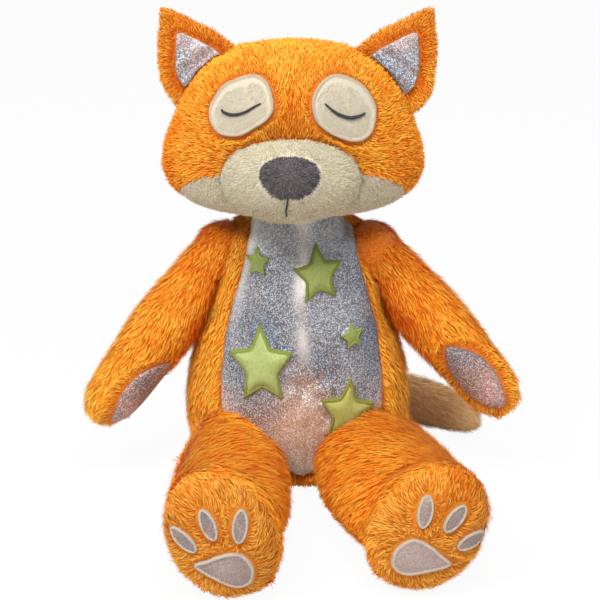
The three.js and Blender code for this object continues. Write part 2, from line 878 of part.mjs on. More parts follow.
const footForms = feet.map(({ centre, facing, across }) => ({
  spine: spineThrough(
    [
      centre.clone().addScaledVector(facing, -footThickness / 2),
      centre.clone().addScaledVector(facing, footThickness / 2),
    ],
    across,
  ),
  rows: puck(footWidth / 2, footLength / 2, footThickness / 2, footRoundness),
  detail: footDetail,
}));

const legLimbs = legForms.map((form, index) => ({
  form,
  centre: hips[index],
  radius: hipBallRadius,
  axis: legAxes[index],
  range: legLiftRange,
}));

function legShape(index, spare, detail) {
  return seatedLimb(legLimbs[index], spare, detail).add(softForm(footForms[index], spare, detail));
}

function soleSide(index, spare) {
  const { centre, facing } = feet[index];
  const point = centre.clone().addScaledVector(facing, (soleDepthShare * footThickness) / 2 + spare);
  return halfSpace(point, facing);
}

// A rounded triangle with its sharp corner towards the outer side of the foot.
function solePadOutline(sign) {
  return new THREE.Shape(
    solePadShares.map(([x, y]) => new THREE.Vector2((sign * x * solePadWidth) / 2, (y * solePadHeight) / 2)),
  );
}

const belowFilling = halfSpace(at(0, 0, coverThickness), at(0, 0, -1));

function legPieces({ name, sign, index }) {
  const { toes, across, padMiddle } = feet[index];
  const [solePadAside, solePadRise] = solePadPlaceShares[index];
  const cavity = legShape(index, -coverThickness, innerDetail);
  const filling = legShape(index, -coverThickness - clearance, innerDetail);
  const shell = cut(legShape(index, 0), [cavity, rootOpening(legLimbs[index]), floor]);
  const padCentre = padMiddle
    .clone()
    .addScaledVector(toes, solePadRise * footLength - solePadDrop)
    .addScaledVector(across, solePadAside * footLength);
  const pad = prism(solePadOutline(sign), padCentre, across, toes, footThickness);
  const low = clearance;
  const high = clearance + clothThickness;
  const toePieces = toePads.map((toe) => {
    const place = padMiddle
      .clone()
      .addScaledVector(across, sign * toe.outwardShare * footWidth)
      .addScaledVector(toes, toe.upShare * footLength);
    const outline = ellipse(toePadWidth, toePadLength, -sign * toe.lean);
    const shape = prism(outline, place, across, toes, footThickness);
    return piece("toe_pad_" + toe.name + "_" + name, clothOn(footForms[index], shape, low, high), padCloth);
  });
  return [
    piece("leg_cover_" + name, shell.subtract(soleSide(index, 0)), orangePile),
    piece("sole_" + name, shell.intersect(soleSide(index, clearance)), solePile),
    piece("leg_filling_" + name, filling.subtract(belowFilling), fibreFilling),
    piece("sole_pad_" + name, clothOn(footForms[index], pad, low, high), padCloth),
    ...toePieces,
  ];
}

// Tail

const tailForm = {
  spine: spineThrough(
    [
      tailRoot,
      ...tailRouteShares.map(([x, y, z]) => at(tailSpread * x, tailRoot.y + tailBack * y, tailWidth * z)),
    ],
    at(0, 0, 1),
  ),
  detail: limbDetail,
};
tailForm.rows = scaledRows(tailRadiusLengthShares, tailWidth / 2, tailWidth / 2, tailForm.spine.length);

const tailLimb = {
  form: tailForm,
  centre: tailRoot,
  radius: tailRootRadius,
  axis: at(0, 0, 1),
  range: [0, tailSwingRange],
};

function tailPieces() {
  const cavity = seatedLimb(tailLimb, -coverThickness, innerDetail);
  const filling = seatedLimb(tailLimb, -coverThickness - clearance, innerDetail).subtract(belowFilling);
  const shell = cut(seatedLimb(tailLimb, 0), [cavity, rootOpening(tailLimb), floor]);
  const seam = tailForm.spine.frameAt(tailTipShare * tailForm.spine.length);
  const beyond = halfSpace(seam.point, seam.tangent);
  const beyondGap = halfSpace(seam.point.clone().addScaledVector(seam.tangent, clearance), seam.tangent);
  return [
    piece("tail_base", shell.subtract(beyond), orangePile),
    piece("tail_tip", shell.intersect(beyondGap), tailPile),
    piece("tail_filling", filling, fibreFilling),
  ];
}

// Assembly

function torsoPieces() {
  return [
    piece("torso_cover", torsoCover(), orangePile),
    piece("belly_panel", bellyPanel(), silverCloth),
    ...bellyStars(),
    piece("torso_filling", torsoFilling(), fibreFilling),
    piece("neck_filling", neckFilling(), fibreFilling),
  ];
}

function headPieces() {
  const shell = headShell();
  return [
    piece("head_cover", shell.subtract(belowJawSeam(0)), orangePile),
    piece("jaw_panel", shell.intersect(belowJawSeam(clearance)), creamPile),
    piece("head_filling", cut(headCavity(clearance), neckSeat()), fibreFilling),
    piece("muzzle", muzzle(), creamPile),
    piece("nose", nose(), greyPile),
    piece("mouth_stitch", mouthStitch(), darkThread),
  ];
}

function facePieces(side) {
  const { name } = side;
  return [
    piece("eye_patch_" + name, eyePatch(side), patchCloth),
    piece("eyelid_" + name, eyelid(side), darkThread),
  ];
}

function earPieces({ name, sign }) {
  const carvers = earCarvers(sign);
  return [
    piece("ear_cover_" + name, earCover(sign, carvers), orangePile),
    piece("ear_lining_" + name, earLining(sign, carvers), silverCloth),
  ];
}

const fox = new THREE.Group();
fox.add(...torsoPieces(), ...headPieces());
for (const side of sides) {
  fox.add(...facePieces(side), ...earPieces(side), ...armPieces(side), ...legPieces(side));
}
fox.add(...tailPieces());

export default fox;
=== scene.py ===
"""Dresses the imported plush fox: stuffed skins, combed pile, glitter cloth, sewn stars, pads and face."""

import functools
import json
import math

import bmesh
import bpy
import numpy as np
from mathutils import Matrix, Vector
from mathutils.bvhtree import BVHTree

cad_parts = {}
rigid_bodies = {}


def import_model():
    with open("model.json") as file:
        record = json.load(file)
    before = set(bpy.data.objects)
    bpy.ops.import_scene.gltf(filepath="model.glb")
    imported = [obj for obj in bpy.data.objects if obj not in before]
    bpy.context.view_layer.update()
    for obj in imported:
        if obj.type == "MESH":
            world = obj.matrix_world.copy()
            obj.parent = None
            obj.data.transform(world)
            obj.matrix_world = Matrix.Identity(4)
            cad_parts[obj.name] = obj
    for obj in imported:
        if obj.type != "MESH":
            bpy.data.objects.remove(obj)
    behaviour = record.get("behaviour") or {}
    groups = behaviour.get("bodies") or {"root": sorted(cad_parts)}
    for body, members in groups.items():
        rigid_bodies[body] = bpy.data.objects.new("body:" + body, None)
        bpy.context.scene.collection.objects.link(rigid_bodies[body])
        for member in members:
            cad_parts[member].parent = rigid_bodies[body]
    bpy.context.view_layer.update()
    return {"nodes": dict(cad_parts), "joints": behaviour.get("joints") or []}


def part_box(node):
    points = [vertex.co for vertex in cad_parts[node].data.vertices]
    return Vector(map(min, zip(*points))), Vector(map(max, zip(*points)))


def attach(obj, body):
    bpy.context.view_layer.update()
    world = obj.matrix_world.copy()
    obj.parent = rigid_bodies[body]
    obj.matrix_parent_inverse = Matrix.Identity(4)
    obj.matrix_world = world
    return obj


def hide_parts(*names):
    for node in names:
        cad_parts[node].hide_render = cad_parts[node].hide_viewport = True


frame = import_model()

bl_info = {
    "name": "Plush fox dressing",
    "version": (1, 0, 0),
    "blender": (4, 5, 0),
    "location": "View3D > Sidebar > Plush fox",
    "description": "Dresses the packed solids of a sitting plush fox with skins, pile and sewn details",
    "category": "Object",
}

SIDES = (("right", -1), ("left", 1))
FRONT = Vector((0, -1, 0))
RIGHTWARD = Vector((1, 0, 0))
UPWARD = Vector((0, 0, 1))
WHITE = (1, 1, 1, 1)

# Heights above the floor that skins and tufts keep, and below which no tuft is rooted.
SKIN_FLOOR = 0.0004
TUFT_FLOOR = 0.0003
ROOT_FLOOR = 0.001

# A skin swells for this many frames. Corners of a CAD node nearer than the merge distance are one.
STUFFING_FRAMES = 20
MERGE_DISTANCE = 1e-5

# Pile thins out over this distance from a patch, reaches its full length this far from one, and no tuft
# is shorter than the least.
BARE_BLUR = 0.004
FULL_LENGTH_REACH = 0.006
LEAST_TUFT = 0.0009

# Sockets of Blender's Mix node for colours: its two colours, and its result.
MIX_FIRST, MIX_SECOND, MIX_RESULT = 6, 7, 2

# The floor adds this share of plain white to its own colour where the camera sees it.
FLOOR_GLOW = 0.94
STUDIO_STRENGTH = 0.47
# Each lamp: its place, what it points at, its size and its power.
LAMPS = (
    ("key", (-0.7, -0.9, 1.4), (0, 0, 0.14), 0.5, 16),
    ("fill", (0.9, -1.1, 0.6), (0, 0, 0.12), 0.9, 0.9),
    ("top", (0.1, -0.75, 1.35), (0, -0.1, 0.05), 0.5, 11),
)
# The camera stands a metre from what it looks at, raised by its tilt.
CAMERA_TARGET = Vector((0.0015, 0, 0.106))
CAMERA_TILT = math.radians(18)
CAMERA_LENS, CAMERA_SENSOR = 100, 36

# The seam up the belly, and the dimple at its top.
SEAM_X, SEAM_LOW, SEAM_HIGH = 0.0058, 0.004, 0.054
DIMPLE_X, DIMPLE_Z = 0.0046, 0.067

# Each large star: its turn in degrees, how wide and tall it is beside its solid, how far it hangs below it,
# and the tint of its satin.
STARS = (
    ("star_top", 6, 0.95, 1.1, 0.0022, (0.72, 0.76, 0.56)),
    ("star_right", 3, 1.0, 1.27, 0.0, (0.93, 0.97, 0.94)),
    ("star_left", -8, 1.04, 1.3, 0.0, (1.0, 0.86, 0.6)),
)
SMALL_STARS = (("small_star_top", 0, 1.2, 1.35), ("small_star_side", 12, 1.05, 1.22))
STAR_NODES = [star[0] for star in STARS + SMALL_STARS]
# A five-pointed star of radius 1 is this tall, and its middle lies this far below its box's middle.
STAR_HEIGHT_SHARE, STAR_DROP_SHARE = 1.809, 0.095

# Half the size of each eye patch, and its outline in shares of that.
EYE_HALVES = {"right": (0.0182, 0.0166), "left": (0.0181, 0.0180)}
EYE_OUTLINE_SHARES = {
    "right": (
        (0.45, 1.0), (0.78, 0.83), (0.95, 0.46), (1.0, 0.12), (0.98, -0.12), (0.78, -0.42),
        (0.45, -0.66), (0.04, -0.93), (-0.36, -1.0), (-0.70, -0.93), (-0.94, -0.63), (-1.0, -0.22),
        (-0.87, 0.15), (-0.57, 0.59), (-0.26, 0.79), (0.07, 0.93),
    ),
    "left": (
        (-0.34, 1.0), (0.10, 0.91), (0.51, 0.69), (0.81, 0.35), (0.98, -0.02), (0.98, -0.36),
        (0.88, -0.73), (0.64, -0.95), (0.30, -1.0), (-0.07, -0.90), (-0.51, -0.67), (-0.85, -0.36),
        (-0.98, -0.02), (-1.0, 0.26), (-0.91, 0.56), (-0.68, 0.84),
    ),
}
EYE_BORDER, EYE_RIDGE, EYE_PUFF, EYE_BASE = 0.0019, 0.0011, 0.0007, 0.0016

# Each closed lid, and the stitch of the mouth: places across and up from a middle, and half the thickness
# there, in metres.
LID_STROKES = {
    "right": (
        (-0.0110, -0.0020, 0.0005), (-0.0098, -0.0033, 0.0008), (-0.0062, -0.0042, 0.0008),
        (-0.0017, -0.0037, 0.0007), (0.0032, -0.0018, 0.0006), (0.0075, 0.0009, 0.0005),
        (0.0109, 0.0027, 0.0003),
    ),
    "left": (
        (-0.0107, 0.0040, 0.0004), (-0.0067, 0.0004, 0.0006), (-0.0024, -0.0024, 0.0008),
        (0.0031, -0.0042, 0.0009), (0.0080, -0.0039, 0.0008), (0.0117, -0.0026, 0.0005),
    ),
}
MOUTH_STROKE = (
    (0.0008, 0.0072, 0.0004), (0.0001, 0.0030, 0.0005), (-0.0006, -0.0010, 0.0005), (-0.0002, -0.0050, 0.0004),
)

# The corner at the outer foot of each ear, which is drawn in by its own amount.
EAR_CORNER, EAR_CORNER_REACH = (0.0735, 0.232), 0.012
EAR_CORNER_DRAW = (0.001, -0.0065)

# What each palm faces, and its pad's outline along and across it, in metres.
PALM_FACINGS = {"right": (0.75, -1, -0.55), "left": (-0.1, -1, 0)}
PALM_OUTLINE = (
    (0.0250, 0.0), (0.0170, 0.0068), (0.0060, 0.0104), (-0.0060, 0.0104), (-0.0170, 0.0068),
    (-0.0250, 0.0), (-0.0170, -0.0068), (-0.0060, -0.0104), (0.0060, -0.0104), (0.0170, -0.0068),
)

# The sole of each foot: its turn outwards, its tilt back and its roll, in degrees.
FOOT_ANGLES = {"right": (-4, 3, -28), "left": (8, 10, 47)}
# A leg's pile changes from the thigh's piece to the foot's this far behind the sole.
ANKLE_DEPTH = 0.055
# Half the size of a foot's large pad, and its outline in shares of that.
SOLE_PAD_HALF = (0.0126, 0.0112)
SOLE_PAD_SHARES = (
    (1.1, 0.95), (0.45, 1.0), (-0.06, 0.97), (-0.5, 0.86), (-0.88, 0.6),
    (-1.03, 0.1), (-0.97, -0.45), (-0.55, -0.98), (0.05, -0.86), (0.55, -0.15),
)
# The width and height of a toe pad, and how far each leans, in degrees.
TOE_PAD_SIZE = (0.0082, 0.0172)
TOE_LEANS = (("inner", -32), ("middle", -3), ("outer", 24))
PAD_BASE = 0.0014

# How far each kind of tuft is arched outwards and swept aside, in shares of its length.
TUFT_SHAPES = ((0.5, 0.3), (0.8, -0.4), (1.2, 0.7), (0.3, -0.7), (0.9, 0.05))
TUFTS = "tufts "
# How far a tuft strays from the comb's direction by chance.
JITTER = 0.12
PILE_SOCKETS = (
    ("Skin", "Geometry"),
    ("Tufts", "Collection"),
    ("Spacing", "Float"),
    ("Width", "Float"),
    ("Jitter", "Float"),
    ("Clumping", "Float"),
    ("Clump Scale", "Float"),
    ("Seed", "Int"),
)

# The foil's dots: their hues, from blue to pink, and how bright they are, mostly dull.
FOIL_HUES = (
    (0.0, (0.4, 0.66, 0.98, 1)),
    (0.45, (0.6, 0.78, 0.95, 1)),
    (0.62, (0.98, 0.96, 0.92, 1)),
    (0.84, (0.98, 0.66, 0.48, 1)),
    (1.0, (0.9, 0.62, 0.82, 1)),
)
FOIL_GREY = (0.9, 0.9, 0.9, 1)
# The colour of the painted highlight on the belly's silver.
FOIL_PAINTED_HIGHLIGHT = (0.9, 0.86, 0.79, 1)
FOIL_BRIGHTNESS = ((0.0, 0.02), (0.6, 0.2), (0.8, 0.85), (1.0, 1.0))


def linear(code):
    """The scene-linear colour of a six-digit sRGB code."""
    parts = (int(code[i : i + 2], 16) / 255 for i in (0, 2, 4))
    return tuple(p / 12.92 if p <= 0.04045 else ((p + 0.055) / 1.055) ** 2.4 for p in parts)


def length_prop(name, description, default):
    return bpy.props.FloatProperty(
        name=name, description=description, default=default, min=0, unit="LENGTH", precision=5
    )


def colour_prop(name, description, code):
    return bpy.props.FloatVectorProperty(
        name=name, description=description, default=linear(code), size=3, min=0, max=1, subtype="COLOR"
    )


class FoxPile(bpy.types.PropertyGroup):
    """Sizes of the pile."""

    body_length: length_prop("Body tuft", "Length of a tuft on the torso, arms, legs and tail", 0.0060)
    face_length: length_prop("Head tuft", "Length of a tuft on the head and ears", 0.0042)
    sole_length: length_prop("Sole tuft", "Length of a tuft on the soles", 0.0054)
    short_length: length_prop("Short tuft", "Length of a tuft of the cream velour", 0.0023)
    nose_length: length_prop("Nose tuft", "Length of a tuft of the grey velour", 0.0026)
    tuft_width: length_prop("Tuft width", "Width of a tuft of long pile", 0.00066)
    short_width: length_prop("Short tuft width", "Width of a tuft of velour", 0.00050)
    body_spacing: length_prop("Body spacing", "Distance between the roots of two body tufts", 0.00080)
    face_spacing: length_prop("Head spacing", "Distance between the roots of two head tufts", 0.00070)
    short_spacing: length_prop("Short spacing", "Distance between the roots of two velour tufts", 0.00068)
    skin_inset: length_prop("Skin inset", "How far inside its solid the head's skin lies, under its pile", 0.0028)
    body_inset: length_prop("Body inset", "How far inside their solids the other skins lie", 0.0012)


class FoxCloth(bpy.types.PropertyGroup):
    """Sizes of the cloth and the sewing."""

    border_width: length_prop("Satin border", "Width of the satin stitch round a star", 0.0020)
    border_height: length_prop("Border height", "Height of the satin stitch round a star", 0.0009)
    star_puff: length_prop("Star padding", "How far a star's middle stands up", 0.0016)
    thread_pitch: length_prop("Thread pitch", "Distance between two stitches of a satin border", 0.00055)
    glitter_dot: length_prop("Glitter dot", "Width of a foil dot on the silver cloth", 0.00050)


class FoxColours(bpy.types.PropertyGroup):
    """Colours of the pile, cloth and thread."""

    # The orange pile's tones run from painted shade (ember) to painted light (amber).
    ember: colour_prop("Ember", "Orange pile where the fox is most shaded", "DF5518")
    orange: colour_prop("Orange", "Orange pile, the middle tone", "FA9524")
    amber: colour_prop("Amber", "Orange pile where it is palest", "FFC64A")
    golden: colour_prop("Golden", "Palest pile of the soles", "F9B44E")
    deep_golden: colour_prop("Deep golden", "Deepest pile of the soles", "DC801E")
    cream: colour_prop("Cream", "Velour of the muzzle and jaw", "DAD3BB")
    deep_cream: colour_prop("Deep cream", "Deepest velour of the muzzle and jaw", "C2B89C")
    grey: colour_prop("Grey", "Palest velour of the nose", "837A7C")
    deep_grey: colour_prop("Deep grey", "Deepest velour of the nose", "322E30")
    beige: colour_prop("Beige", "Palest pile of the tail's tip", "FFDFAC")
    deep_beige: colour_prop("Deep beige", "Deepest pile of the tail's tip", "DDB274")
    patch: colour_prop("Eye patch", "Cloth of the eye patches", "CEC4AF")
    thread: colour_prop("Dark thread", "Thread of the eyelids and the mouth", "23282C")
    silver: colour_prop("Silver", "Silver cloth", "9DA1A8")
    # Painted reflection of the orange legs, laid over the silver low on the belly.
    tan: colour_prop("Warm silver", "Silver cloth low on the belly, where it mirrors the legs", "F2D6BE")
    star: colour_prop("Star", "Cloth of the stars", "AEBB74")
    star_border: colour_prop("Star border", "Satin stitch round the stars", "96A23E")
    pad: colour_prop("Pad", "Glitter cloth of the foot pads", "98827A")
    pad_border: colour_prop("Pad border", "Satin stitch round the foot pads", "D2C2AE")


def pile_sizes():
    return bpy.context.scene.fox_pile


def cloth_sizes():
    return bpy.context.scene.fox_cloth


def colours():
    return bpy.context.scene.fox_colours


def rgba(value, gain=1.0):
    return tuple(min(1.0, c * gain) for c in value) + (1.0,)


def toned(colour, *gains):
    """The colour, scaled by one gain, or by one for each of its channels."""
    return tuple(c * g for c, g in zip(colour, gains if len(gains) > 1 else gains * 3))


# Fields over a skin


def unit(vectors):
    return vectors / np.maximum(np.linalg.norm(vectors, axis=1, keepdims=True), 1e-9)


def rising(value, start, span):
    """0 up to the start, 1 from a span past it, and even between."""
    return np.clip((value - start) / span, 0, 1)


def hump(value, width):
    """1 where the value is 0, falling away to either side over about the width."""
    return np.exp(-((value / width) ** 2))


# Materials


def add_node(tree, kind, inputs=(), **settings):
    """A new node with its settings, and with its inputs given as values or as other nodes' outputs."""
    node = tree.nodes.new(kind)
    for name, value in settings.items():
        setattr(node, name, value)
    for name, value in dict(inputs).items():
        if isinstance(value, bpy.types.NodeSocket):
            tree.links.new(value, node.inputs[name])
        else:
            node.inputs[name].default_value = value
    return node


def show(tree, shader):
    """Gives a material or a world the shader."""
    output = next(n for n in tree.nodes if n.type in ("OUTPUT_MATERIAL", "OUTPUT_WORLD"))
    tree.links.new(shader, output.inputs["Surface"])


class Nodes:
    """A material's nodes, added one by one."""

    def __init__(self, name):
        self.material = bpy.data.materials.new(name)
        self.material.use_nodes = True
        self.tree = self.material.node_tree
        self.shader = next(n for n in self.tree.nodes if n.type == "BSDF_PRINCIPLED")

    def add(self, kind, inputs=(), **settings):
        return add_node(self.tree, kind, inputs, **settings)

    def link(self, output, socket):
        self.tree.links.new(output, self.shader.inputs[socket])

    def where(self):
        return self.add("ShaderNodeTexCoord").outputs["Object"]

    def attribute(self, name):
        return self.add("ShaderNodeAttribute", attribute_name=name).outputs["Fac"]

    def ramp(self, factor, stops):
        node = self.add("ShaderNodeValToRGB", {"Fac": factor})
        elements = node.color_ramp.elements
        while len(elements) < len(stops):
            elements.new(0.5)
        for element, (place, colour) in zip(elements, stops):
            element.position = place
            element.color = colour
        return node.outputs["Color"]

    def mix(self, factor, first, second, blend="MIX"):
        inputs = {0: factor, MIX_FIRST: first, MIX_SECOND: second}
        return self.add("ShaderNodeMix", inputs, data_type="RGBA", blend_type=blend).outputs[MIX_RESULT]

    def vector(self, operation, first, **more):
        inputs = {0: first, **{{"second": 1, "scale": "Scale"}[name]: value for name, value in more.items()}}
        return self.add("ShaderNodeVectorMath", inputs, operation=operation).outputs["Vector"]

    def raise_by(self, height, distance, strength):
        bump = self.add("ShaderNodeBump", {"Height": height, "Distance": distance, "Strength": strength})
        self.link(bump.outputs["Normal"], "Normal")

    def finish(self, roughness, sheen=0.0, metallic=0.0, specular=0.3):
        inputs = self.shader.inputs
        inputs["Roughness"].default_value = roughness
        inputs["Sheen Weight"].default_value = sheen
        inputs["Metallic"].default_value = metallic
        inputs["Specular IOR Level"].default_value = specular


def made_once(make):
    """Makes a material the first time that its name is asked for, and gives the same one after that."""

    @functools.wraps(make)
    def material(name, *values, **settings):
        if name in bpy.data.materials:
            return bpy.data.materials[name]
        nodes = Nodes(name)
        make(nodes, *values, **settings)
        return nodes.material

    return material


@made_once
def pile_material(nodes, tones, root=(0.5, 0.3, 0.2)):
    """Tufts take one of the tones across their map, and darken towards their roots along its height, a painted shade
    deep in the pile.
    """
    place = nodes.add("ShaderNodeUVMap", uv_map="OFBake").outputs["UV"]
    parts = nodes.add("ShaderNodeSeparateXYZ", {"Vector": place}).outputs
    tone = nodes.ramp(parts["X"], [(index / (len(tones) - 1), rgba(tone)) for index, tone in enumerate(tones)])
    shade = nodes.ramp(parts["Y"], [(0.0, rgba(root)), (0.7, WHITE)])
    nodes.link(nodes.mix(1.0, tone, shade, "MULTIPLY"), "Base Color")
    nodes.finish(0.8, specular=0.08)


@made_once
def backing_material(nodes, low, high, grain=900.0, bump=0.0006):
    """The cloth that the pile grows from: mottled, with a fine nap."""
    inputs = {"Vector": nodes.where(), "Scale": grain, "Detail": 3.0, "Roughness": 0.6}
    fine = nodes.add("ShaderNodeTexNoise", inputs).outputs["Fac"]
    nodes.link(nodes.ramp(fine, [(0.3, rgba(low)), (0.7, rgba(high))]), "Base Color")
    nodes.raise_by(fine, bump, 0.8)
    nodes.finish(0.9, sheen=0.2, specular=0.2)


@made_once
def glitter_material(nodes, base, dot, warm=None, tint=1.0, metallic=0.3, sparkle=0.58):
    """Silver cloth with foil dots in faint blues and pinks; given a colour of painted reflection, attributes place
    that painted reflection and a painted highlight.
    """
    where = nodes.where()
    dots = nodes.add("ShaderNodeTexVoronoi", {"Vector": where, "Scale": 1 / dot, "Randomness": 0.9}).outputs["Color"]
    cell = nodes.add("ShaderNodeSeparateColor", {"Color": dots}).outputs
    hue = nodes.ramp(cell["Red"], FOIL_HUES)
    bright = nodes.ramp(cell["Green"], [(place, rgba((level,) * 3)) for place, level in FOIL_BRIGHTNESS])
    vivid = nodes.add("ShaderNodeMapRange", {"Value": cell["Blue"], "To Min": 0.0, "To Max": tint})
    foil = nodes.mix(vivid.outputs["Result"], FOIL_GREY, hue)
    spark = nodes.mix(1.0, bright, foil, "MULTIPLY")
    drift = nodes.add("ShaderNodeTexNoise", {"Vector": where, "Scale": 30.0, "Detail": 2.0}).outputs["Fac"]
    cool = toned(base, 0.62, 0.82, 1.05)
    shown = nodes.ramp(drift, [(0.34, rgba(cool, 0.85)), (0.48, rgba(base, 0.85)), (0.66, rgba(base, 1.3))])
    if warm is not None:
        # Painted reflection of the legs where the attribute says.
        shown = nodes.mix(nodes.attribute("warm"), shown, rgba(warm))
    shown = nodes.mix(sparkle, shown, spark, "OVERLAY")
    shown = nodes.mix(sparkle * 0.6, shown, spark)
    if warm is not None:
        # A painted highlight where the attribute says.
        shown = nodes.mix(nodes.attribute("gleam"), shown, FOIL_PAINTED_HIGHLIGHT)
    nodes.link(shown, "Base Color")
    lean = nodes.vector("SCALE", nodes.vector("SUBTRACT", dots, second=(0.5, 0.5, 0.5)), scale=0.45)
    normal = nodes.add("ShaderNodeNewGeometry").outputs["Normal"]
    nodes.link(nodes.vector("NORMALIZE", nodes.vector("ADD", normal, second=lean)), "Normal")
    nodes.finish(0.45, metallic=metallic, specular=0.5)


@made_once
def satin_material(nodes, base, grain=1400.0):
    """Close-woven satin, a little uneven."""
    stretched = nodes.add("ShaderNodeMapping", {"Vector": nodes.where(), "Scale": (1.0, 1.0, 0.3)})
    inputs = {"Vector": stretched.outputs["Vector"], "Scale": grain, "Detail": 2.0}
    fine = nodes.add("ShaderNodeTexNoise", inputs).outputs["Fac"]
    nodes.link(nodes.ramp(fine, [(0.3, rgba(base, 0.84)), (0.7, rgba(base, 1.1))]), "Base Color")
    nodes.raise_by(fine, 0.0004, 0.6)
    nodes.finish(0.6, sheen=0.3, specular=0.35)


@made_once
def stitch_material(nodes, base, pitch):
    """Satin stitch: threads laid side by side across the border, along its own map."""
    place = nodes.add("ShaderNodeUVMap", uv_map="Stitch").outputs["UV"]
    inputs = {"Vector": place, "Scale": 1 / pitch / math.pi, "Distortion": 1.2, "Detail": 2.0, "Detail Scale": 2.0}
    wave = nodes.add("ShaderNodeTexWave", inputs, wave_type="BANDS", bands_direction="X").outputs["Fac"]
    nodes.link(nodes.ramp(wave, [(0.1, rgba(base, 0.62)), (0.6, rgba(base, 1.05))]), "Base Color")
    nodes.raise_by(wave, 0.0003, 0.7)
    nodes.finish(0.42, sheen=0.1, specular=0.45)


def orange_pile(name="orange pile", root=(0.5, 0.3, 0.2)):
    tones = colours()
    return pile_material(name, (tones.ember, tones.orange, tones.amber), root)


def body_pile():
    return orange_pile("body pile", (0.64, 0.42, 0.28))


def orange_backing():
    tones = colours()
    # Darker than the pile: painted shade under the tufts.
    return backing_material("orange backing", toned(tones.ember, 0.7), toned(tones.orange, 0.8))


def cream_pile():
    tones = colours()
    # The darkest tone, far below the deep cream, is painted shade along the seams of the muzzle and jaw.
    depths = (toned(tones.deep_cream, 0.4), tones.deep_cream, tones.cream)
    return pile_material("cream pile", depths, (0.56, 0.5, 0.4))


def cream_backing():
    tones = colours()
    return backing_material("cream backing", tones.deep_cream, tones.cream)


def dark_thread():
    return stitch_material("dark thread", colours().thread, cloth_sizes().thread_pitch)


# Meshes


def link(obj):
    bpy.context.scene.collection.objects.link(obj)
    return obj


def object_from(name, bm, *materials, smooth=True):
    mesh = bpy.data.meshes.new(name)
    bm.to_mesh(mesh)
    bm.free()
    mesh.shade_smooth() if smooth else mesh.shade_flat()
    for material in materials:
        mesh.materials.append(material)
    return link(bpy.data.objects.new(name, mesh))


def named_object(name):
    return bpy.data.objects[name]


def joined_copy(nodes):
    """The CAD nodes' faces in one bmesh, with each node's corners merged."""
    bm = bmesh.new()
    for node in nodes:
        part = bmesh.new()
        part.from_mesh(frame["nodes"][node].data)
        bmesh.ops.remove_doubles(part, verts=part.verts, dist=MERGE_DISTANCE)
        whole = bpy.data.meshes.new("copy")
        part.to_mesh(whole)
        part.free()
        bm.from_mesh(whole)
        bpy.data.meshes.remove(whole)
    return bm


def bake_modifiers(obj):
    """The object's mesh as its modifiers leave it, with none left on it."""
    graph = bpy.context.evaluated_depsgraph_get()
    evaluated = obj.evaluated_get(graph)
    made = bpy.data.meshes.new_from_object(evaluated, preserve_all_data_layers=True, depsgraph=graph)
    obj.modifiers.clear()
    old = obj.data
    obj.data = made
    made.name = obj.name
    bpy.data.meshes.remove(old)


def skin(name, nodes, material, voxel, smooth, inset):
    """One smooth closed skin round the CAD nodes, set in from their surface."""
    obj = object_from(name, joined_copy(nodes))
    remesh = obj.modifiers.new("even", "REMESH")
    remesh.mode = "VOXEL"
    remesh.voxel_size = voxel
    relax = obj.modifiers.new("relax", "SMOOTH")
    relax.factor = 0.5
    relax.iterations = smooth
    if inset:
        shrink = obj.modifiers.new("inset", "DISPLACE")
        shrink.strength = -inset
        shrink.mid_level = 0
    bake_modifiers(obj)
    obj.data.shade_smooth()
    obj.data.materials.append(material)
    return obj


def stuff(obj, pressure=4.0, most=0.002):
    """Blows the skin up from inside as cloth, and keeps each point within a limit of where it was."""
    before = [v.co.copy() for v in obj.data.vertices]
    cloth = obj.modifiers.new("stuffing", "CLOTH")
    cloth.settings.use_pressure = True
    cloth.settings.uniform_pressure_force = pressure
    cloth.settings.effector_weights.gravity = 0
    cloth.settings.quality = 4
    cloth.settings.tension_stiffness = 25
    cloth.point_cache.frame_start = 1
    cloth.point_cache.frame_end = STUFFING_FRAMES
    for step in range(1, STUFFING_FRAMES + 1):
        bpy.context.scene.frame_set(step)
    bake_modifiers(obj)
    bpy.context.scene.frame_set(1)
    for vertex, start in zip(obj.data.vertices, before):
        moved = vertex.co - start
        if moved.length > most:
            vertex.co = start + moved * (most / moved.length)
    obj.data.shade_smooth()
    keep_above(obj, SKIN_FLOOR)


def dress(obj, body, slot, *nodes):
    """Rides the piece on its body and hides what it stands for; its slot is not used."""
    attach(obj, body)
    if nodes:
        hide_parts(*nodes)
    return obj


def read_corners(obj, what):
    values = np.empty(len(obj.data.vertices) * 3, np.float32)
    obj.data.vertices.foreach_get(what, values)
    return values.reshape(-1, 3).astype(float)


def corners_of(obj):
    return read_corners(obj, "co")


def normals_of(obj):
    return read_corners(obj, "normal")


def set_corners(obj, co):
    obj.data.vertices.foreach_set("co", co.astype(np.float32).ravel())
    obj.data.update()


def keep_above(obj, height):
    """Raises the corners that are below a height up to it."""
    co = corners_of(obj)
    co[:, 2] = np.maximum(co[:, 2], height)
    set_corners(obj, co)


def swell(obj, amounts):
    """Moves each corner of a skin along its normal by its own amount."""
    set_corners(obj, corners_of(obj) + normals_of(obj) * np.asarray(amounts)[:, None])


def store(mesh, name, kind, values):
    attribute = mesh.attributes.new(name, kind, "POINT")
    attribute.data.foreach_set("value" if kind == "FLOAT" else "vector", np.asarray(values, np.float32).ravel())


def paint_regions(obj, share, material):
    """Gives the faces where the share is high the second material."""
    obj.data.materials.append(material)
    for face in obj.data.polygons:
        face.material_index = int(np.mean([share[i] for i in face.vertices]) > 0.5)


# Places on the solids and the skins


def middle_of(node):
    low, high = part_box(node)
    return (low + high) / 2


def front_middle(node):
    """The middle of the front of a node's box."""
    low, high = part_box(node)
    return Vector(((low.x + high.x) / 2, low.y, (low.z + high.z) / 2))


